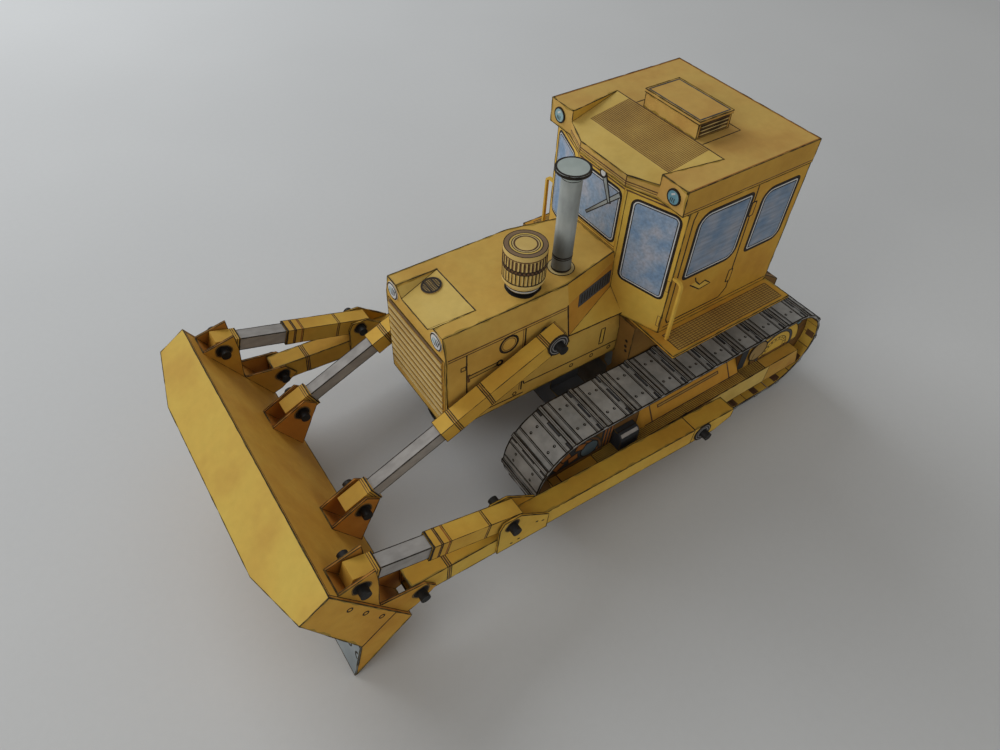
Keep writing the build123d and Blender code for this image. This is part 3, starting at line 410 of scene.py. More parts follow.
def facet(spots, paint, inside, shrink=0.03):
    """A painted patch on the machine's flat face through some points, facing away from an inner one."""
    spots = [Vector(spot) for spot in spots]
    middle = sum(spots, Vector()) / len(spots)
    u = (spots[1] - spots[0]).normalized()
    out = u.cross(spots[2] - spots[0]).normalized()
    if out.dot(middle - Vector(inside)) < 0:
        out = -out
    pad = Pad(spots[0], u, out.cross(u), out)
    steps = [spot.lerp(middle, shrink) - spots[0] for spot in spots]
    fill(pad, [(step.dot(pad.u), step.dot(pad.v)) for step in steps], paint, FLAT)


def smudge(pad, centre, radius, seed, layers=((1.0, "halo", MID), (0.84, "smudge", HIGH))):
    """A dark painted patch with an uneven rim in a paler halo, as round each skewer."""
    for share, paint, hi in layers:
        loop = []
        for a, b in circle(centre, 1.0, parts=36):
            way = Vector((a - centre[0], b - centre[1], 0))
            reach = radius * share * (1 + 0.2 * noise.noise(way * 1.1 + Vector((seed, 2 * seed, share))))
            loop.append((centre[0] + way.x * reach, centre[1] + way.y * reach))
        fill(pad, loop, paint, hi)


def rounded(corners, radii, inset=0.0):
    """A polygon with round corners, moved in by an inset."""
    corners = [Vector(c) for c in corners]
    count = len(corners)
    area = sum(corners[i - 1].x * corners[i].y - corners[i].x * corners[i - 1].y for i in range(count))
    turn = 1 if area > 0 else -1
    loop = []
    for i, corner in enumerate(corners):
        back = (corners[i - 1] - corner).normalized()
        ahead = (corners[(i + 1) % count] - corner).normalized()
        angle = back.angle(ahead)
        middle = (back + ahead).normalized()
        radius = max(radii[i] - inset, 0.25)
        centre = corner + middle * ((radius + inset) / math.sin(angle / 2))
        away = Vector((-back.y, back.x)) * turn
        start = math.atan2(away.y, away.x)
        bend = (math.pi - angle) * turn
        for k in range(6):
            t = start + bend * k / 5
            loop.append((centre.x + radius * math.cos(t), centre.y + radius * math.sin(t)))
    return loop


def window(pad, corners, radii, scale=1.0, pane="glass"):
    """A painted window: dark frame, pale seal, dark line and washed blue pane."""
    layers = ((0.0, "ink", LINE), (0.72, "chalk", OVER), (1.02, "ink", PROUD), (1.27, pane, 0.11))
    for inset, paint, hi in layers:
        fill(pad, rounded(corners, radii, inset * scale), paint, hi)


def box(a0, a1, b0, b1):
    """The corners of a rectangle."""
    return [(a0, b0), (a1, b0), (a1, b1), (a0, b1)]


def outline(pad, a0, a1, b0, b1, width=0.35, paint="ink"):
    """A drawn rectangle."""
    stroke(pad, box(a0, a1, b0, b1), width, paint, closed=True)


def rule(pad, a0, b0, a1, b1, step, width, paint, hi=OVER):
    """Parallel lines along the second direction, a step apart in the first."""
    count = int(abs(a1 - a0) / step)
    for i in range(count + 1):
        a = a0 + (a1 - a0) * i / count
        line(pad, a, b0, a, b1, width, paint, hi, 0.6)


def side_pad(y, facing, body="machine"):
    """An upright face that looks to the left or right: along X and Z."""
    return Pad((0, y, 0), (1, 0, 0), (0, 0, 1), (0, facing, 0), body)


def top_pad(z):
    """A level face of the machine: along X and Y."""
    return Pad((0, 0, z), (1, 0, 0), (0, 1, 0), (0, 0, 1))


def cross_pad(z):
    """A level face of the machine: along Y and X."""
    return Pad((0, 0, z), (0, 1, 0), (1, 0, 0), (0, 0, 1))


def front_pad(x, facing=1):
    """An upright face of the machine that looks ahead or back: along Y and Z."""
    return Pad((x, 0, 0), (0, 1, 0), (0, 0, 1), (facing, 0, 0))


class Tube:
    """The four faces of a square tube along a line in the machine's length."""

    def __init__(self, body, start, end, y, wide, deep):
        along = Vector((end[0] - start[0], 0, end[1] - start[1])).normalized()
        up = Vector((-along.z, 0, along.x))
        origin = Vector((start[0], y, start[1]))
        across = Vector((0, 1, 0))
        self.top = Pad(origin + up * deep / 2, along, across, up, body)
        self.under = Pad(origin - up * deep / 2, along, across, -up, body)
        self.left = Pad(origin + across * wide / 2, along, up, across, body)
        self.right = Pad(origin - across * wide / 2, along, up, -across, body)
        self.faces = ((self.top, wide), (self.under, wide), (self.left, deep), (self.right, deep))

    def girdle(self, s, width=0.35, paint="ink"):
        """A line round the tube."""
        for pad, size in self.faces:
            line(pad, s, -size / 2, s, size / 2, width, paint)

    def side(self, hand):
        return self.left if hand > 0 else self.right


def welded(name):
    """The mesh of a CAD node with its doubled points joined."""
    bm = bmesh.new()
    bm.from_mesh(nodes[name].data)
    bmesh.ops.remove_doubles(bm, verts=bm.verts, dist=1e-6)
    return bm


def sharp_edges(bm, shortest):
    """The folds and cut edges of a mesh, each with its two ends, direction and length."""
    for edge in bm.edges:
        length = edge.calc_length()
        if len(edge.link_faces) == 2 and length >= shortest * MM and edge.calc_face_angle(0) >= SHARP:
            a, b = edge.verts[0].co, edge.verts[1].co
            yield edge, a, b, (b - a).normalized(), length


def ink_edges(name, width=0.15, shortest=1.0, paint="fold"):
    """The inked folds and cut edges of a card piece, as broken, wavering lines along its sharp edges."""
    step, lifted, thin = 1.6, -0.32, 0.35
    bm = welded(name)
    verts, faces = heap(nodes[name]["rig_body"], paint)
    for edge, a, b, along, length in sharp_edges(bm, shortest):
        out = (edge.link_faces[0].normal + edge.link_faces[1].normal).normalized()
        side = along.cross(out)
        parts = max(1, math.ceil(length / (step * MM)))
        start = len(verts)
        for i in range(parts + 1):
            spot = a.lerp(b, i / parts)
            press = noise.noise(spot * 380)
            size = width * MM * (1 + 0.8 * press if press > lifted else thin)
            verts.extend(spot + way * size for way in (out * 0.75, side, -out, -side))
        sweep(faces, start, parts + 1)
    bm.free()


def shade_edges(name):
    """Pencil shading along the folds of a card piece: an uneven strip on each face beside a long edge."""
    reach, rise, shortest, step = 0.8, 0.02, 6.0, 1.2
    bm = welded(name)
    tree = bvhtree.BVHTree.FromBMesh(bm)
    verts, faces = heap(nodes[name]["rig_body"], "olive")
    for edge, a, b, along, length in sharp_edges(bm, shortest):
        for face in edge.link_faces:
            inward = face.normal.cross(along)
            if inward.dot(face.calc_center_median() - a) < 0:
                inward = -inward
            # The face has to reach further in than the strip does
            tests = [a.lerp(b, t) + inward * 2 * reach * MM for t in (0.1, 0.5, 0.9)]
            if any(tree.find_nearest(test)[3] > 0.02 * MM for test in tests):
                continue
            parts = math.ceil(length / (step * MM))
            start = len(verts)
            for i in range(parts + 1):
                spot = a.lerp(b, i / parts)
                press = 0.5 + 0.9 * noise.noise(spot * 420 + face.normal * 3)
                wide = inward * reach * MM * max(0.1, press)
                low, high = spot - face.normal * SUNK * MM, spot + face.normal * rise * MM
                verts.extend((low, low + wide, high + wide, high))
            sweep(faces, start, parts + 1)
    bm.free()


def draw_hood_side(hand):
    """Doors, catch, stay, port and bolts printed on one side of the hood, and its folded waist."""
    pad = side_pad(hand * HOOD_SIDE, hand)
    for z, width in ((67.4, 0.42), (66.5, 0.3)):
        line(pad, 0.0, z, 40.4, z, width, "brown")
    stroke(pad, [(34.4, 66.5), (34.4, 39.0), (13.6, 38.2)], 0.42)
    outline(pad, 34.7, 36.3, 60.8, 62.2, 0.35)
    fill(pad, box(33.3, 34.1, 55.0, 58.2), "brown", MID)
    line(pad, 33.6, 56.9, 23.6, 57.2, 1.6, "ink", MID)
    line(pad, 33.6, 56.9, 23.6, 57.2, 0.9, "hatch", HIGH, 0.4)
    ring(pad, (23.2, 57.2), 0.6, 1.25, "ink", HIGH)
    ring(pad, (20.2, 63.2), 2.65, 3.4)
    ring(pad, (20.2, 63.2), 2.15, 2.35, "brown")
    line(pad, 14.5, 66.5, 14.5, 40.0, 0.5)
    line(pad, 15.3, 66.5, 15.3, 40.4, 0.2, "brown")
    stroke(pad, [(13.9, 43.6), (13.5, 42.2), (-23.8, 41.1)], 0.45)
    outline(pad, -17.8, -16.2, 43.3, 50.0, 0.4)
    fill(pad, box(-17.5, -16.5, 43.6, 49.7), "lemon", LOW)
    for x in (16.9, -5.4, -13.7, -21.0):
        ring(pad, (x, 39.5), 0.5, 0.85)
    # Waist: an orange facet, partly its own ochre tint and partly painted shade, with a louvred panel, a
    # strip over it and a ledge under it
    shoulder, foot = (KINK, hand * HOOD_SIDE, 68.2), (NOSE, hand * 11.5, 61.6)
    ledge, upper = (KINK - 2.0, hand * HOOD_SIDE, 54.4), (NOSE, hand * 11.12, 71.94)
    inside = (NOSE, 0, 60)
    facet([shoulder, ledge, foot, upper], "ochre", inside)
    facet([(KINK, hand * 15.0, HOOD_TOP), shoulder, upper, (NOSE, hand * 10.43, HOOD_TOP)], "cab", inside)
    facet([ledge, (-24.1, hand * HOOD_SIDE, 53.5), foot], "lemon", inside)
    run, lean, drop = 279.36, 70.38, 10.2
    out = (-lean, hand * run, drop)
    waist = Pad(shoulder, (-run, -hand * lean, 0), (0.0, -hand * drop, run), out)
    fill(waist, box(5.4, 21.2, -4.4, 0.4), "steel", MID)
    rule(waist, 6.8, -3.7, 19.8, -0.3, 1.3, 0.5, "ink", HIGH)
    outline(waist, 5.4, 21.2, -4.4, 0.4, 0.3)
    stroke(pad, [(KINK, 68.0), (KINK - 2.0, 54.3), (-24.0, 53.4)], 0.45)


def draw_hood():
    """Grille, lamps, sunken panel with its filler, air cleaner, exhaust stack, and the hull's front."""
    bars = front_pad(HOOD_FRONT + 0.7)
    sheet_front = front_pad(HOOD_FRONT + 0.35)
    middle, pitch, half = 53.3, 2.822, 14.9
    for i in range(-4, 5):
        z = middle + i * pitch
        fill(bars, box(-14.95, 14.95, z - 0.72, z + 0.72), "cream")
        line(bars, -half, z + 0.3, half, z + 0.3, 0.16, "hatch", OVER)
        fill(sheet_front, box(-half, half, z + 0.8, z + 2.0), "taupe", FLAT)
        line(sheet_front, -half, z + 0.95, half, z + 0.95, 0.34, "brown")
        line(sheet_front, -half, z + 1.7, half, z + 1.7, 0.12, "fold")
    outline(front_pad(HOOD_FRONT), -15.7, 15.7, 39.6, 66.6, 0.3, "fold")
    lamp_lines = ((-1.4, "teal"), (-0.75, "teal"), (0.0, "slate"), (0.7, "slate"), (1.4, "ink"))
    for hand in (1, -1):
        y, z = 12.0 * hand, 71.5
        fill(sheet_front, circle((y, z), 2.75), "ink", LOW)
        fill(sheet_front, circle((y, z), 2.3), "chalk", MID)
        for along, paint in lamp_lines:
            reach = math.sqrt(2.1**2 - along**2) * 0.8
            low = (y + along - 0.3 * reach, z - 0.85 * reach)
            high = (y + along + 0.3 * reach, z + 0.85 * reach)
            stroke(sheet_front, [low, high], 0.38, paint, HIGH)
        # The recess's side walls are painted pale straw: painted light on walls that lie in shade
        recess = [(27.6, hand * 10.2, 74.75), (40.9, hand * 10.2, 74.75), (40.9, hand * 7.25, 72.05)]
        facet(recess, "straw", (36.0, hand * 14.0, 72.0))
    slope = Pad((27.4, 0, HOOD_TOP), (13.6, 0, -2.8), (0, 1, 0), (2.8, 0, 13.6))
    fill(slope, [(0.25, -10.0), (13.7, -7.05), (13.7, 7.05), (0.25, 10.0)], "straw", FLAT)
    line(slope, 0.2, -10.0, 0.2, 10.0, 0.35)
    filler = Pad(slope.at(4.8, -5.66, 0.35) / MM, slope.u, slope.v, slope.out)
    for i in range(-4, 5):
        reach = math.sqrt(2.6**2 - (0.6 * i) ** 2)
        line(filler, 0.6 * i, -reach, 0.6 * i, reach, 0.2)
        line(filler, -reach, 0.6 * i, reach, 0.6 * i, 0.16, "fold", MID)
    for a in (-1.1, 1.1):
        line(filler, a, -2.5, a, 2.5, 0.45, "ink", HIGH)
    ring(filler, (0, 0), 2.5, 3.05, "ink", HIGH)
    # Air cleaner: rings on top, pleats and bands round the drum, white collar and a black blot
    lid = top_pad(CLEANER_TOP)
    fill(lid, circle(CLEANER, 5.9), "taupe", FLAT)
    lid_rings = ((5.9, 6.13, "ink"), (4.5, 4.75, "ink"), (4.0, 4.5, "straw"))
    lid_rings += ((3.75, 4.0, "ink"), (3.45, 3.75, "cream"), (2.95, 3.45, "brown"))
    for inner, outer, paint in lid_rings:
        ring(lid, CLEANER, inner, outer, paint)
    fill(lid, circle(CLEANER, 3.0), "cleaner")
    drum = Drum(CLEANER, 6.15)
    bands = ((87.7, 0.3, "brown"), (83.85, 0.7, "brown"))
    for z, width, paint in (*bands, (84.35, 0.3, "ink"), (83.35, 0.3, "ink"), (79.5, 0.35, "ink")):
        drum.band(z, width, paint, OVER)
    for i in range(PLEATS):
        a = drum.girth * i / PLEATS
        line(drum, a + 0.28, 79.7, a + 0.28, 83.2, 0.4, "hatch", LOW)
        line(drum, a, 79.7, a, 83.2, 0.3, "ink", MID)
        line(drum, a, 84.5, a, 87.4, 0.6, "brown", MID)
        line(drum, a - 0.2, 84.5, a - 0.2, 87.4, 0.2, "ink", HIGH)
        fill(drum, circle((a + drum.girth / PLEATS / 2, 83.85), 0.24, 1.4, 8), "ink", PROUD)
    neck = Drum(CLEANER, 4.4, HOOD_TOP, 0.486)
    for z, width, paint in ((77.1, 0.5, "ink"), (76.4, 0.9, "chalk"), (75.3, 0.9, "smudge")):
        neck.band(z, width, paint)
    top = top_pad(HOOD_TOP)
    smudge(top, CLEANER, 5.3, 3, ((1.0, "smudge", MID),))
    # Exhaust stack: foot ring, ring lines, pale throat, dark rim and pale lid
    ring(top, STACK, 2.8, 3.95, "cream", HIGH)
    ring(top, STACK, 3.85, 4.1, "ink", 0.1)
    pipe = Drum(STACK, 2.9)
    for z, width in ((75.2, 0.8), (79.3, 0.3), (79.95, 0.45)):
        pipe.band(z, width)
    pipe.band(105.9, 1.7, "capgreen")
    pipe.band(105.0, 0.25)
    cap = top_pad(STACK_TOP)
    ring(cap, STACK, 4.25, 4.9)
    fill(cap, circle(STACK, 4.3), "capgreen", LOW)
    Drum(STACK, 4.9).band(107.3, 0.8)
    # Marks, pale patches and painted shade on the lower part of the hull's front, under the hood
    front = front_pad(HULL_FRONT)
    patch = [(13.2, 28.6), (15.4, 27.3), (16.6, 29.5), (16.2, 34.8), (13.2, 34.8)]
    for hand in (1, -1):
        for y, z in ((20.9, 44.1), (21.0, 41.8), (21.4, 40.0)):
            fill(front, circle((hand * y, z), 0.6, parts=12), "ink")
        fill(front, [(hand * y, z) for y, z in patch], "pipe")
    fill(front, box(-14.9, 14.9, 10.2, 27.0), "shade", FLAT)


def draw_cab_side(hand):
    """Door, hinges, handle and windows of one side, the bay beside the windscreen, and the running board."""
    pad = side_pad(hand * CAB_SIDE, hand)
    window(pad, box(-32.4, -54.6, 71.3, 95.1), [1.8, 4.2, 1.8, 5.0], 1.45)
    window(pad, box(-58.7, -74.6, 71.0, 94.0), [1.8, 3.8, 1.8, 4.4], 1.45)
    hinge_side = [(-55.2, 96.6), (-56.4, 58.2), (-54.0, 55.2)]
    stroke(pad, [*hinge_side, (-31.4, 55.2), (-30.4, 57.0), (-30.4, 94.0), (-31.2, 96.4)], 0.45)
    line(pad, -30.0, 53.9, -76.4, 53.9, 0.3)
    for z in (88.5, 63.5):
        fill(pad, rounded(box(-56.8, -54.7, z - 2.6, z + 2.6), [0.4] * 4), "ink", MID)
        fill(pad, rounded(box(-56.4, -55.1, z - 2.2, z + 2.2), [0.4] * 4), "cab", HIGH)
    handle = [(-37.4, 67.7), (-42.3, 64.0), (-46.9, 64.5), (-44.0, 66.8), (-41.9, 66.0), (-39.7, 68.2)]
    fill(pad, handle, "lemon", MID)
    stroke(pad, [*handle, (-38.9, 70.0)], 0.42, "ink", HIGH)
    bay = Pad((NOSE, hand * 10.1, 0), (-6.7, hand * 18.7, 0), (0, 0, 1), (18.7, hand * 6.7, 0))
    # The bay's wall is painted paler lemon than the cab: painted light
    fill(bay, box(0.2, 19.6, 53.0, 97.0), "lemon", FLAT)
    # Its pane takes the paler, bluer pane paint: painted light
    window(bay, [(2.6, 66.1), (18.6, 64.7), (18.6, 95.0), (2.6, 95.0)], [2.6, 2.0, 2.6, 2.6], 1.15, "sky")
    for z, width in ((96.2, 0.5), (97.0, 0.25)):
        line(bay, 0.4, z, 19.6, z, width, "brown")
    line(bay, 0.9, 54.0, 0.9, 96.0, 0.22, "fold")
    for z in (57.0, 71.0):
        outline(bay, 18.6, 19.6, z - 2.0, z + 2.0, 0.22, "brown")
    rear, front, near, far = -75.4, -28.8, hand * 30.5, hand * 37.8
    board, across_board = cross_pad(DECK_TOP), top_pad(DECK_TOP)
    fill(board, box(near, far, rear, front), "hatch", LOW)
    rule(board, near, rear, far, front, 0.74, 0.22, "brown")
    rule(across_board, rear, near, front, far, 1.4, 0.11, "brown")
    outline(across_board, rear, front, near, far, 0.3)
    fascia = side_pad(hand * ROOF_SIDE, hand)
    # The roof's side band is painted a darker bronze than the roof: painted shade
    fill(fascia, box(-76.8, -25.1, 97.4, 104.5), "bronze", FLAT)
    line(fascia, -25.2, 98.0, -76.8, 98.0, 0.3, "brown")


def draw_cab_front():
    """Windscreen with its wiper, the rear window, and the plates of the hull's back."""
    pad = front_pad(NOSE)
    # The cab's front wall is painted paler lemon than the cab: painted light
    fill(pad, box(-9.9, 9.9, 75.0, 97.0), "lemon", FLAT)
    # The windscreen takes the paler, bluer pane paint: painted light
    window(pad, box(-9.7, 9.7, 76.5, 95.3), [2.2, 2.4, 2.4, 2.2], 1.15, "sky")
    for z, width in ((96.2, 0.5), (97.0, 0.25), (75.3, 0.25), (76.1, 0.25)):
        line(pad, -10.0, z, 10.0, z, width, "brown")
    wedge(pad, (-3.8, 80.5), (8.6, 93.4), (0.5, 1.1), 0.3, 0.14)
    wedge(pad, (0.9, 97.0), (4.95, 88.9), (1.5, 0.6), 0.42, 0.2)
    fill(pad, circle((0.9, 96.4), 1.5), "ink", 0.26)
    fill(pad, circle((0.9, 96.4), 0.95), "chalk", 0.29)
    rear = front_pad(CAB_BACK, -1)
    window(rear, box(-22.0, 22.0, 72.0, 94.0), [3.0] * 4)
    line(rear, -28.4, 97.6, 28.4, 97.6, 0.35, "brown")
    outline(rear, -24.6, 24.6, 55.4, 69.0, 0.35)
    for y in (-22.6, 22.6):
        for z in (57.4, 67.0):
            ring(rear, (y, z), *BOLT)
    # Plates, caps, louvres and bolts on the hull's back
    slope = Pad((-77.8, 0, 52.0), (-18.2, 0, -12.0), (0, 1, 0), (-12.0, 0, 18.2))
    outline(slope, 2.2, 20.2, -20.6, 20.6, 0.35)
    outline(slope, 5.0, 17.4, -6.4, 6.4, 0.3)
    rule(slope, 6.6, -5.4, 15.8, 5.4, 1.15, 0.4, "brown")
    plate = front_pad(HULL_BACK, -1)
    outline(plate, -20.6, 20.6, 21.0, 38.4, 0.35)
    line(plate, -20.6, 28.6, 20.6, 28.6, 0.25, "brown")
    for hand in (1, -1):
        ring(slope, (11.2, hand * 13.4), 2.3, 2.9)
        ring(slope, (11.2, hand * 13.4), 1.2, 1.4, "brown")
        for a in (4.0, 18.4):
            ring(slope, (a, hand * 18.8), *BOLT)
        for z in (23.0, 36.4):
            ring(plate, (hand * 18.8, z), *BOLT)


def draw_roof():
    """Visor with its tread and side walls, lines over the windows, ventilator, and the lamps' faces."""
    visor = Pad((-44.7, 0, ROOF_TOP), (23.5, 0, -3.9), (0, 1, 0), (3.9, 0, 23.5))
    right_half = [(0.3, -22.0), (20.0, -19.0), (23.6, -10.2)]
    fill(visor, [*right_half, (23.6, 10.2), (20.0, 19.0), (0.3, 22.0)], "straw", FLAT)
    fill(visor, box(0.3, 14.9, -16.8, 16.8), "hatch")
    rule(visor, 0.3, -16.8, 14.9, 16.8, 0.62, 0.2, "brown")
    line(visor, 0.15, -22.0, 0.15, 22.0, 0.3)
    brow_x, brow_lines = NOSE + 0.3, ((98.9, 0.35), (98.2, 0.2))
    for z, width in brow_lines:
        line(front_pad(brow_x), -10.0, z, 10.0, z, width, "brown")
    for hand in (1, -1):
        along, out = (-3.7, hand * 9.0, 0), (9.0, hand * 3.7, 0)
        side_brow = Pad((brow_x, hand * 10.1, 0), along, (0, 0, 1), out)
        for z, width in brow_lines:
            line(side_brow, 0.1, z, 9.6, z, width, "brown")
        line(side_brow, 0.0, 97.4, 0.0, 100.6, 0.3, "brown")
    top = top_pad(ROOF_TOP)
    stroke(top, [(-44.9, 13.8), (-60.1, 13.8), (-60.1, -13.8), (-44.9, -13.8)], 0.3)
    stroke(top, [(-25.5, 28.7), (-76.6, 28.7), (-76.6, -28.7), (-25.5, -28.7)], 0.28, "rust")
    outline(top_pad(VENT_TOP), -57.4, -45.5, -10.4, 10.4, 0.45, "steel")
    face = front_pad(-24.55)
    for hand in (1, -1):
        end = side_pad(hand * 10.9, hand)
        fill(end, box(-57.2, -45.7, 105.0, 109.0), "brown", LOW)
        slat = side_pad(hand * 11.075, hand)
        for i in (-1, 0, 1):
            z = 107.0 + 1.15 * i
            fill(slat, box(-56.6, -46.3, z - 0.2, z + 0.2), "cream", LOW)
        y, z = 24.7 * hand, 101.0
        fill(face, circle((y, z), 2.0), "teal")
        for along in (-0.9, -0.3, 0.35):
            line(face, y + along, z - 1.5, y + along + 0.2, z - 0.2, 0.24, "ink", OVER)
        line(face, y - 0.8, z + 0.5, y + 0.4, z + 1.3, 0.5, "chalk", OVER)
        ring(face, (y, z), 1.95, 2.35, "ink", HIGH)
        # The visor's side walls are painted paler lemon: painted light on walls that lie in shade
        wall = [(-44.4, hand * 22.25, 104.65), (-24.95, hand * 19.11, 104.65), (-24.95, hand * 19.11, 101.5)]
        facet(wall, "lemon", (-34.0, hand * 26.0, 103.0))


def draw_shoes(hand):
    """Printed shoes: a bolted plate between double lines, and a notched bar with its highlights."""
    belt = Belt(SHOE_FACE, 1)
    pitch = belt.length / SHOES
    inner, outer = TRACK_IN + 0.1, TRACK_OUT - 0.1
    for i in range(SHOES):
        a = i * pitch
        for step, width in ((-3.25, 0.18), (-2.75, 0.38), (2.75, 0.38), (3.25, 0.18)):
            line(belt, a + step, hand * inner, a + step, hand * outer, width, "ink", LINE, 0.6)
        for y in (28.1, 36.9):
            for step in (-1.35, 1.35):
                fill(belt, circle((a + step, hand * y), 0.5, parts=12), "ink")
                fill(belt, circle((a + step + 0.1, hand * y), 0.16, parts=8), "track", HIGH)
        for low, high in ((inner, 26.4), (29.4, 35.6), (38.6, outer)):
            fill(belt, box(a + 4.2, a + 5.05, hand * low, hand * high), "ink")
            fill(belt, box(a + 4.45, a + 4.9, hand * (low + 0.3), hand * (high - 0.3)), "steel", OVER)
        # Lines on the bar, which stands 0.6 mm over the plates
        for step, width, paint in ((5.2, 0.22, "ink"), (5.75, 0.14, "fold"), (6.35, 0.34, "ink")):
            line(belt, a + step, hand * inner, a + step, hand * outer, width, paint, 0.66, 0.4)
    for y in (TRACK_IN + 0.2, TRACK_OUT - 0.2):
        line(belt, 0, hand * y, belt.length - 0.4, hand * y, 0.32)
    inside = Belt(BAND_INSIDE, -1)
    middle = hand * (CORE_Y + TRACK_OUT) / 2
    line(inside, 0, middle, inside.length - 0.4, middle, 4.7, "lemon", LINE, 0)
    for i in range(2 * SHOES):
        a = inside.length * i / (2 * SHOES)
        line(inside, a, hand * (CORE_Y + 0.3), a, hand * (TRACK_OUT - 0.2), 0.3, "brown", OVER)
        if i % 2:
            line(inside, a - 1.5, hand * 39.4, a + 1.5, hand * 39.4, 3.2, "brown", OVER, 0.3)


def draw_track_side(hand):
    """Sprocket, roller and idler prints, the frame beam's tread, the side panel and the black box."""
    core = side_pad(hand * CORE_Y, hand)
    disc = side_pad(hand * (CORE_Y + 0.5), hand)
    fill(core, box(-80.0, -72.8, 17.6, 34.6), "beam", LOW)
    fill(disc, arc(REAR_WHEEL, 12.4, 0, 180, 24), "lemon", FLAT)
    ring(disc, REAR_WHEEL, 8.5, 9.5, "steel")
    for radius in (8.45, 9.55, 6.4):
        ring(disc, REAR_WHEEL, radius - 0.14, radius + 0.14, "ink", OVER)
    ring(disc, REAR_WHEEL, 4.6, 4.8)
    for spot in arc(REAR_WHEEL, 5.6, 0, 180, 9):
        fill(disc, circle(spot, 0.42, parts=10), "ink", MID)
    fill(core, box(-72.6, -69.2, 17.6, 35.0), "box", HIGH)
    roller, boss = (-77.8, 23.8), (0.8, 22.6)
    fill(disc, circle(roller, 4.5), "tan", PROUD)
    ring(disc, roller, 4.2, 4.75, "ink", 0.11)
    for spot in ((-99.4, 27.6), (-96.4, 31.4)):
        fill(core, circle(spot, 1.7), "teal", MID)
        ring(core, spot, 1.5, 1.95, "ink", HIGH)
    for angle in range(100, 180, 16):
        spoke = [arc(REAR_WHEEL, radius, angle, angle, 1)[0] for radius in (13.0, 17.0)]
        stroke(core, spoke, 1.3, "brown")
    # Idler: teal boss, rim arcs, blocks, and a painted shadow over the space behind
    fill(disc, arc(FRONT_WHEEL, 11.2, 0, 180, 24), "box", FLAT)
    rims = ((10.4, 0.9, "brown"), (9.0, 0.7, "rust"), (7.8, 0.7, "brown"), (6.7, 0.5, "rust"))
    for radius, width, paint in rims:
        stroke(disc, arc(FRONT_WHEEL, radius, 112, 176, 14), width, paint, MID)
    fill(disc, circle(boss, 3.6), "slate", PROUD)
    ring(disc, boss, 3.35, 3.75, "ink", 0.11)
    blocks = ((4.8, 26.0, 0.3), (10.6, 24.4, -0.4), (8.0, 28.4, 0.1), (7.4, 22.0, -0.2), (13.2, 21.6, -0.7))
    for x, z, tilt in blocks:
        block = [Vector(p) for p in box(-1.9, 1.9, -1.4, 1.4)]
        for p in block:
            p.rotate(Matrix.Rotation(tilt, 2))
        loop = [(x + p.x, z + p.y) for p in block]
        fill(disc, loop, "rust", 0.1)
        stroke(disc, loop, 0.3, "ink", 0.12, closed=True)
    fill(core, box(-9.4, -4.6, 17.6, 33.0), "box", LOW)
    for x in (-9.0, -7.6, -6.2):
        line(core, x + 0.6, 17.8, x, 33.0, 0.7, "rust", OVER)
    # Beam: lengthwise tread on top, seams
    tread, across_tread = cross_pad(BEAM_TOP), top_pad(BEAM_TOP)
    near, far = hand * 36.6, hand * 41.3
    fill(tread, box(near, far, -79.7, -0.9), "lemon", FLAT)
    rule(tread, hand * 37.0, -79.6, hand * 41.1, -1.0, 0.58, 0.28, "brown")
    # The beam's front end is painted paler orange: partly the plate's tint, partly painted light where the
    # band and arm shade it
    fill(across_tread, box(-0.7, 13.4, near, far), "panel", FLAT)
    rule(across_tread, -79.6, hand * 36.8, -70.0, hand * 41.2, 0.9, 0.26, "fold")
    for x in (-79.8, -70.0, -0.8, 13.6):
        line(across_tread, x, near, x, far, 0.35)
    outer = side_pad(hand * TRACK_OUT, hand)
    fill(outer, box(-81.9, 12.5, BEAM_LOW + 0.2, BEAM_TOP - 0.2), "straw", FLAT)
    for x in (BEAM_REAR, BEAM_FRONT):
        line(outer, x, BEAM_LOW + 0.1, x, BEAM_TOP - 0.1, 0.3, "fold")
    # Side panel and its slot
    up, out = (0, -hand * 6.2, 10.9), (0, hand * 10.9, 6.2)
    panel = Pad((0, hand * 37.7, BEAM_TOP), (1, 0, 0), up, out)
    for x in (-64.5, -27.2):
        line(panel, x, 0.3, x, 12.2, 0.5, "brown")
    line(panel, -68.8, 0.3, -24.0, 0.3, 0.3, "brown")
    fill(panel, box(-59.8, -30.4, 4.1, 5.3), "brown")
    fill(panel, box(-59.3, -30.9, 4.45, 4.95), "hatch", OVER)
    # Black box: pale strip along its rounded edge
    edge = Pad((0, hand * 39.91, 23.91), (1, 0, 0), (0, -hand, 1), (0, hand, 1))
    fill(edge, box(-17.0, -10.0, -0.6, 0.6), "rod", PROUD)
    outline(side_pad(hand * 40.5, hand), -17.1, -9.9, 18.0, 22.0, 0.25, "steel")
    line(top_pad(24.5), -17.2, hand * 38.3, -9.8, hand * 38.3, 0.3)


def washer(pad, hi):
    """A card washer round a skewer at the start of a tube, with rings drawn on it."""
    ring(pad, (0, 0), 1.62, 3.6, "steel", hi)
    for inner, outer, paint in ((2.0, 2.25, "rod"), (2.5, 2.75, "ink"), (2.9, 3.1, "rod"), (3.2, 3.7, "ink")):
        ring(pad, (0, 0), inner, outer, paint, hi + 0.03)


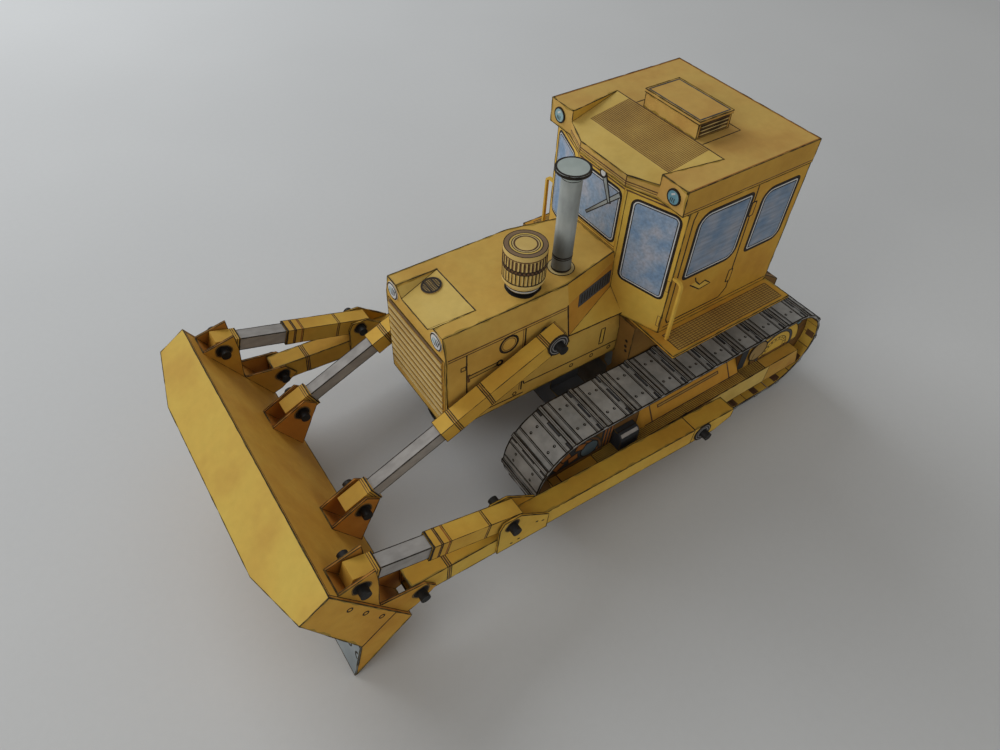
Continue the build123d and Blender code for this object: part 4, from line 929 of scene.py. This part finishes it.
def draw_arm(hand):
    """Outer side painted paler as painted light, seam, rings, rivets and washer of one push arm."""
    arm_line = ("push_arms", TRUNNION, BLADE_PIN, hand * ARM_Y)
    arm = Tube(*arm_line, 6.4, 6.8)
    outer = arm.side(hand)
    # The outer side is painted paler lemon: painted light
    fill(outer, [(-14.1, 3.3), (-14.1, -0.2), (-7.1, -3.3), (-1.7, -3.3), (-1.7, 3.3)], "lemon", FLAT)
    for start, end in ((1.7, 107.9), (111.3, 112.1)):
        fill(outer, box(start, end, -3.3, 3.3), "lemon", FLAT)
    arm.girdle(4.6)
    for s, width, paint in ((99.6, 0.3, "ink"), (100.2, 0.45, "brown"), (100.8, 0.3, "ink")):
        arm.girdle(s, width, paint)
    for s in range(8, 66, 3):
        line(outer, s, 3.2, s + 1.6, 3.2, 0.16, "fold", MID)
    cheek = Tube(*arm_line, 7.6, 6.8)
    cheek_outer = cheek.side(hand)
    foot = [(66.6, -3.2), (84.2, -3.2), (84.2, 8.2), (83.0, 10.9), (77.6, 10.9), (66.6, 3.2)]
    # The cheek's foot too is painted paler lemon: painted light
    fill(cheek_outer, foot, "lemon", FLAT)
    for s, t in ((68.0, 1.4), (70.4, 2.6), (76.4, -1.6), (79.0, -1.9)):
        line(cheek_outer, s, t, s + 0.9, t + 0.3, 0.6, "ink", MID)
    for pad in (cheek_outer, cheek.side(-hand)):
        smudge(pad, (80.3, 8.3), 2.5, 5 + hand)
    washer(outer, 0.4)


def draw_cylinder(name, hand_name, start, end, y, sizes, hole, nose, hidden, rings):
    """Rings on a barrel, inked edges of its rod, and the yellow eye round its hole at the rod's end.

    The sizes are those of the barrel, rod and eye; the rod's lines start where the barrel still hides it."""
    tube, ram, eye = sizes
    barrel = Tube(f"{name}_barrel_{hand_name}", start, end, y, tube, tube)
    for s, width, paint in rings:
        barrel.girdle(s, width, paint)
    head = Tube(f"{name}_rod_{hand_name}", start, end, y, tube, eye)
    pin_s = math.hypot(end[0] - start[0], end[1] - start[1])
    near, far = pin_s - 5.6, pin_s + nose
    rod = Tube(f"{name}_rod_{hand_name}", start, end, y, ram, ram)
    for pad, size in rod.faces:
        for t in (0.11 - size / 2, size / 2 - 0.11):
            line(pad, hidden, t, near, t, 0.2)
    for pad in (head.top, head.under):
        fill(pad, box(near, far, -tube / 2, tube / 2), "barrel", FLAT)
    back, ahead, slot = pin_s - hole[0], pin_s + hole[0], 2 * hole[1] / eye
    parts = ((near, back, -1, 1), (ahead, far, -1, 1), (back, ahead, -1, -slot), (back, ahead, slot, 1))
    for pad in (head.left, head.right):
        for s0, s1, low, high in parts:
            fill(pad, box(s0, s1, low * eye / 2, high * eye / 2), "barrel", FLAT)
    for s, width, paint in ((0.25, 0.45, "ink"), (1.0, 0.25, "brown"), (1.6, 0.2, "brown")):
        head.girdle(near + s, width, paint)
    along, up = head.top.u, head.top.out
    middle = Vector((start[0], y, start[1]))
    nose_end = Pad(middle + far * along, (0, 1, 0), up, along, head.top.body)
    fill(nose_end, box(-tube / 2, tube / 2, -eye / 2, eye / 2), "barrel", FLAT)
    back_end = Pad(middle + near * along, (0, 1, 0), up, -along, head.top.body)
    for low, high in ((-eye / 2, -ram / 2), (ram / 2, eye / 2)):
        fill(back_end, box(-tube / 2, tube / 2, low, high), "barrel", FLAT)
    return barrel


def draw_linkage(hand, hand_name):
    """Lift cylinder and brace of one side, and the smudges round the blade's pins."""
    lift_rings = [(-3.2, 0.3, "brown")]
    for s in (2.7, 24.8, 36.5):
        lift_rings += [(s - 0.6, 0.3, "ink"), (s, 0.4, "brown"), (s + 0.6, 0.3, "ink")]
    brace_rings = [(7.7, 0.3, "ink"), (8.3, 0.3, "brown"), (20.8, 0.2, "ink"), (21.3, 0.4, "rust")]
    brace_rings += [(23.4, 0.35, "ink"), (23.9, 0.4, "brown"), (26.3, 0.7, "ink")]
    lift_line = (LIFT_TOP, LIFT_HEAD, hand * LIFT_Y)
    brace_line = (BRACE_FOOT, BRACE_HEAD, hand * ARM_Y)
    lift = draw_cylinder("lift", hand_name, *lift_line, (5.2, 4.0, 6.4), (3.1, 2.5), 3.8, 26.0, lift_rings)
    draw_cylinder("brace", hand_name, *brace_line, (5.6, 4.6, 5.6), (1.8, 1.8), 2.2, 24.0, brace_rings)
    washer(lift.side(hand), 0.35)
    for y, out, places in ((ARM_Y, ARM_CHEEK, (BLADE_PIN, BRACE_HEAD)), (LIFT_Y, LIFT_CHEEK, (LIFT_HEAD,))):
        for facing in (1, -1):
            pad = side_pad(hand * y + facing * out, facing, "blade")
            for x, z in places:
                smudge(pad, (x, z), 2.7, x + facing)


def draw_blade():
    """Pale top plate, partly its tint and partly painted light; inked crest, painted brackets, and the bolts
    of the end plates and the cutting edge.
    """

    def face(origin, start, end, out):
        down = (end[0] - start[0], 0, end[1] - start[1])
        return Pad((origin[0], 0, origin[1]), (0, 1, 0), down, (out[0], 0, out[1]), "blade")

    top = face(CREST, CREST, LIP, (8.6, 13.1))
    deep = math.hypot(LIP[0] - CREST[0], LIP[1] - CREST[1])
    share, half = LIP_SHARE * deep, BLADE_END - 0.1
    left_half = [(half, 0.1), (half, share), (LIP_END, deep - 0.1)]
    # The top plate is painted paler than the mustard blade: partly its own tint, partly painted light
    fill(top, [(-half, 0.1), *left_half, (-LIP_END, deep - 0.1), (-half, share)], "blade", FLAT)
    back = face(CREST, CREST, HEEL, (-34.2, 19.6))
    line(back, -half, 0.25, half, 0.25, 0.35)
    line(back, -half, 0.95, half, 0.95, 0.2, "brown")
    heel, rise = Vector(HEEL), Vector(CREST) - Vector(HEEL)
    for hand in (1, -1):
        end = side_pad(hand * BLADE_END, hand, "blade")
        for spot in ((90.2, 39.3), (86.6, 32.9), (82.7, 26.1)):
            ring(end, spot, 0.55, 0.95)
        stroke(end, [KNEE, (78.8, 23.6)], 0.42)
        fill(back, box(hand * 50.75, hand * 51.5, 0.5, 39.2), "bracket", LOW)
        line(back, hand * 50.75, 0.5, hand * 50.75, 39.2, 0.2, "ink", MID)
        # Brackets: their pin, the shares of the blade's back that they span, and their nose round the pin
        for y, out, paint, pin, low, high, nose in (
            (ARM_Y, ARM_CHEEK, "amber", BLADE_PIN, 0.04, 0.405, ((-1.4, 3.4), (-4.7, -1.4), (1.4, -5.5))),
            (ARM_Y, ARM_CHEEK, "amber", BRACE_HEAD, 0.415, 0.89, ((-4.1, 4.1), (-4.4, -1.4))),
            (LIFT_Y, LIFT_CHEEK, "orange", LIFT_HEAD, 0.07, 0.45, ((-1.4, 4.4), (-5.0, 1.4))),
        ):
            loop = [heel + high * rise, *(Vector(pin) + Vector(p) for p in nose), heel + low * rise]
            for facing in (1, -1):
                fill(side_pad(hand * y + facing * out, facing, "blade"), loop, paint, FLAT)
    edge = face((KNEE[0] + 0.487, KNEE[1] + 0.111), KNEE, TIP, (15.3, 3.5))
    pitch, down = 5.12, 5.5
    for i in range(-9, 10):
        ring(edge, (pitch * i, down), 1.0, 1.6)
    for hand, start in ((1, 90), (-1, -90)):
        stroke(edge, arc((51.2 * hand, down), 1.3, start, start + 180), 0.6)


for name in nodes:
    if name.startswith("track_band"):
        ink_edges(name, 0.17, shortest=0.5, paint="ink")
    elif name.startswith(("lift_barrel", "brace_barrel")):
        ink_edges(name, 0.1)
    elif not name.endswith("_pins") and not name.startswith(ROUND_NODES + PLAIN_NODES):
        ink_edges(name)
for name in SHADED_NODES:
    shade_edges(name)
draw_hood()
draw_cab_front()
draw_roof()
draw_blade()
for hand, hand_name in ((1, "left"), (-1, "right")):
    draw_hood_side(hand)
    draw_cab_side(hand)
    draw_shoes(hand)
    draw_track_side(hand)
    draw_arm(hand)
    draw_linkage(hand, hand_name)

for (body, paint), (verts, faces) in heaps.items():
    mesh = bpy.data.meshes.new(f"{body}_{paint}")
    mesh.from_pydata(verts, [], faces)
    bm = bmesh.new()
    bm.from_mesh(mesh)
    bmesh.ops.recalc_face_normals(bm, faces=bm.faces)
    bm.to_mesh(mesh)
    bm.free()
    mesh.materials.append(paints[paint])
    piece = placed(f"{body}_{paint}", mesh)
    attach(piece, body)

# Floor
floor_mesh = bpy.data.meshes.new("floor")
floor_mesh.from_pydata([(-3, -3, 0), (3, -3, 0), (3, 3, 0), (-3, 3, 0)], [], [(0, 1, 2, 3)])
floor = placed("floor", floor_mesh)
floor_mesh.materials.append(paper("sheet", [(199, 201, 203), (204, 206, 208)], size=200, pencil=0.03))

# Light: a large window on the right, a smaller one ahead, a warm wall at the rear left, a pale room
ROOM_COLOUR, ROOM_STRENGTH = (1.0, 0.98, 0.94, 1), 0.27
LAMP_AIM = Vector((0.0, 0.0, 0.03))
scene.world = world = bpy.data.worlds.new("room")
world.use_nodes = True
room = world.node_tree.nodes["Background"].inputs
room["Color"].default_value = ROOM_COLOUR
room["Strength"].default_value = ROOM_STRENGTH


def lamp(name, place, size, power, colour):
    """A soft rectangular lamp turned to the model, in metres and watts."""
    light = bpy.data.lights.new(name, "AREA")
    light.shape = "RECTANGLE"
    light.size, light.size_y = size
    light.energy, light.color = power, colour
    stand = placed(name, light)
    stand.location = place
    stand.rotation_euler = (LAMP_AIM - Vector(place)).to_track_quat("-Z", "Y").to_euler()


lamp("window", (0.2, -0.82, 0.62), (0.8, 0.7), 5.9, (0.95, 0.98, 1.0))
lamp("front", (1.0, 0.1, 0.36), (0.6, 0.6), 3.3, (1.0, 0.98, 0.94))
lamp("wall", (-0.5, 0.8, 0.4), (0.9, 0.6), 1.3, (1.0, 0.93, 0.8))

# Camera at the photograph's place
EYE = Vector((0.107, 0.12996, 0.20933))
back = Vector((0.397713, 0.535522, 0.745010))
right = Vector((-0.826431, 0.561798, 0.037352))
up = Vector((-0.398542, -0.630555, 0.666006))
camera_data = bpy.data.cameras.new("camera")
camera_data.sensor_width, camera_data.lens = 36.0, 25.957
camera_data.clip_start = 0.01
camera = placed("camera", camera_data)
turn = Matrix((right, up, back)).transposed().to_4x4()
turn.translation = EYE
camera.matrix_world = turn
scene.camera = camera
scene.view_settings.view_transform = "Standard"
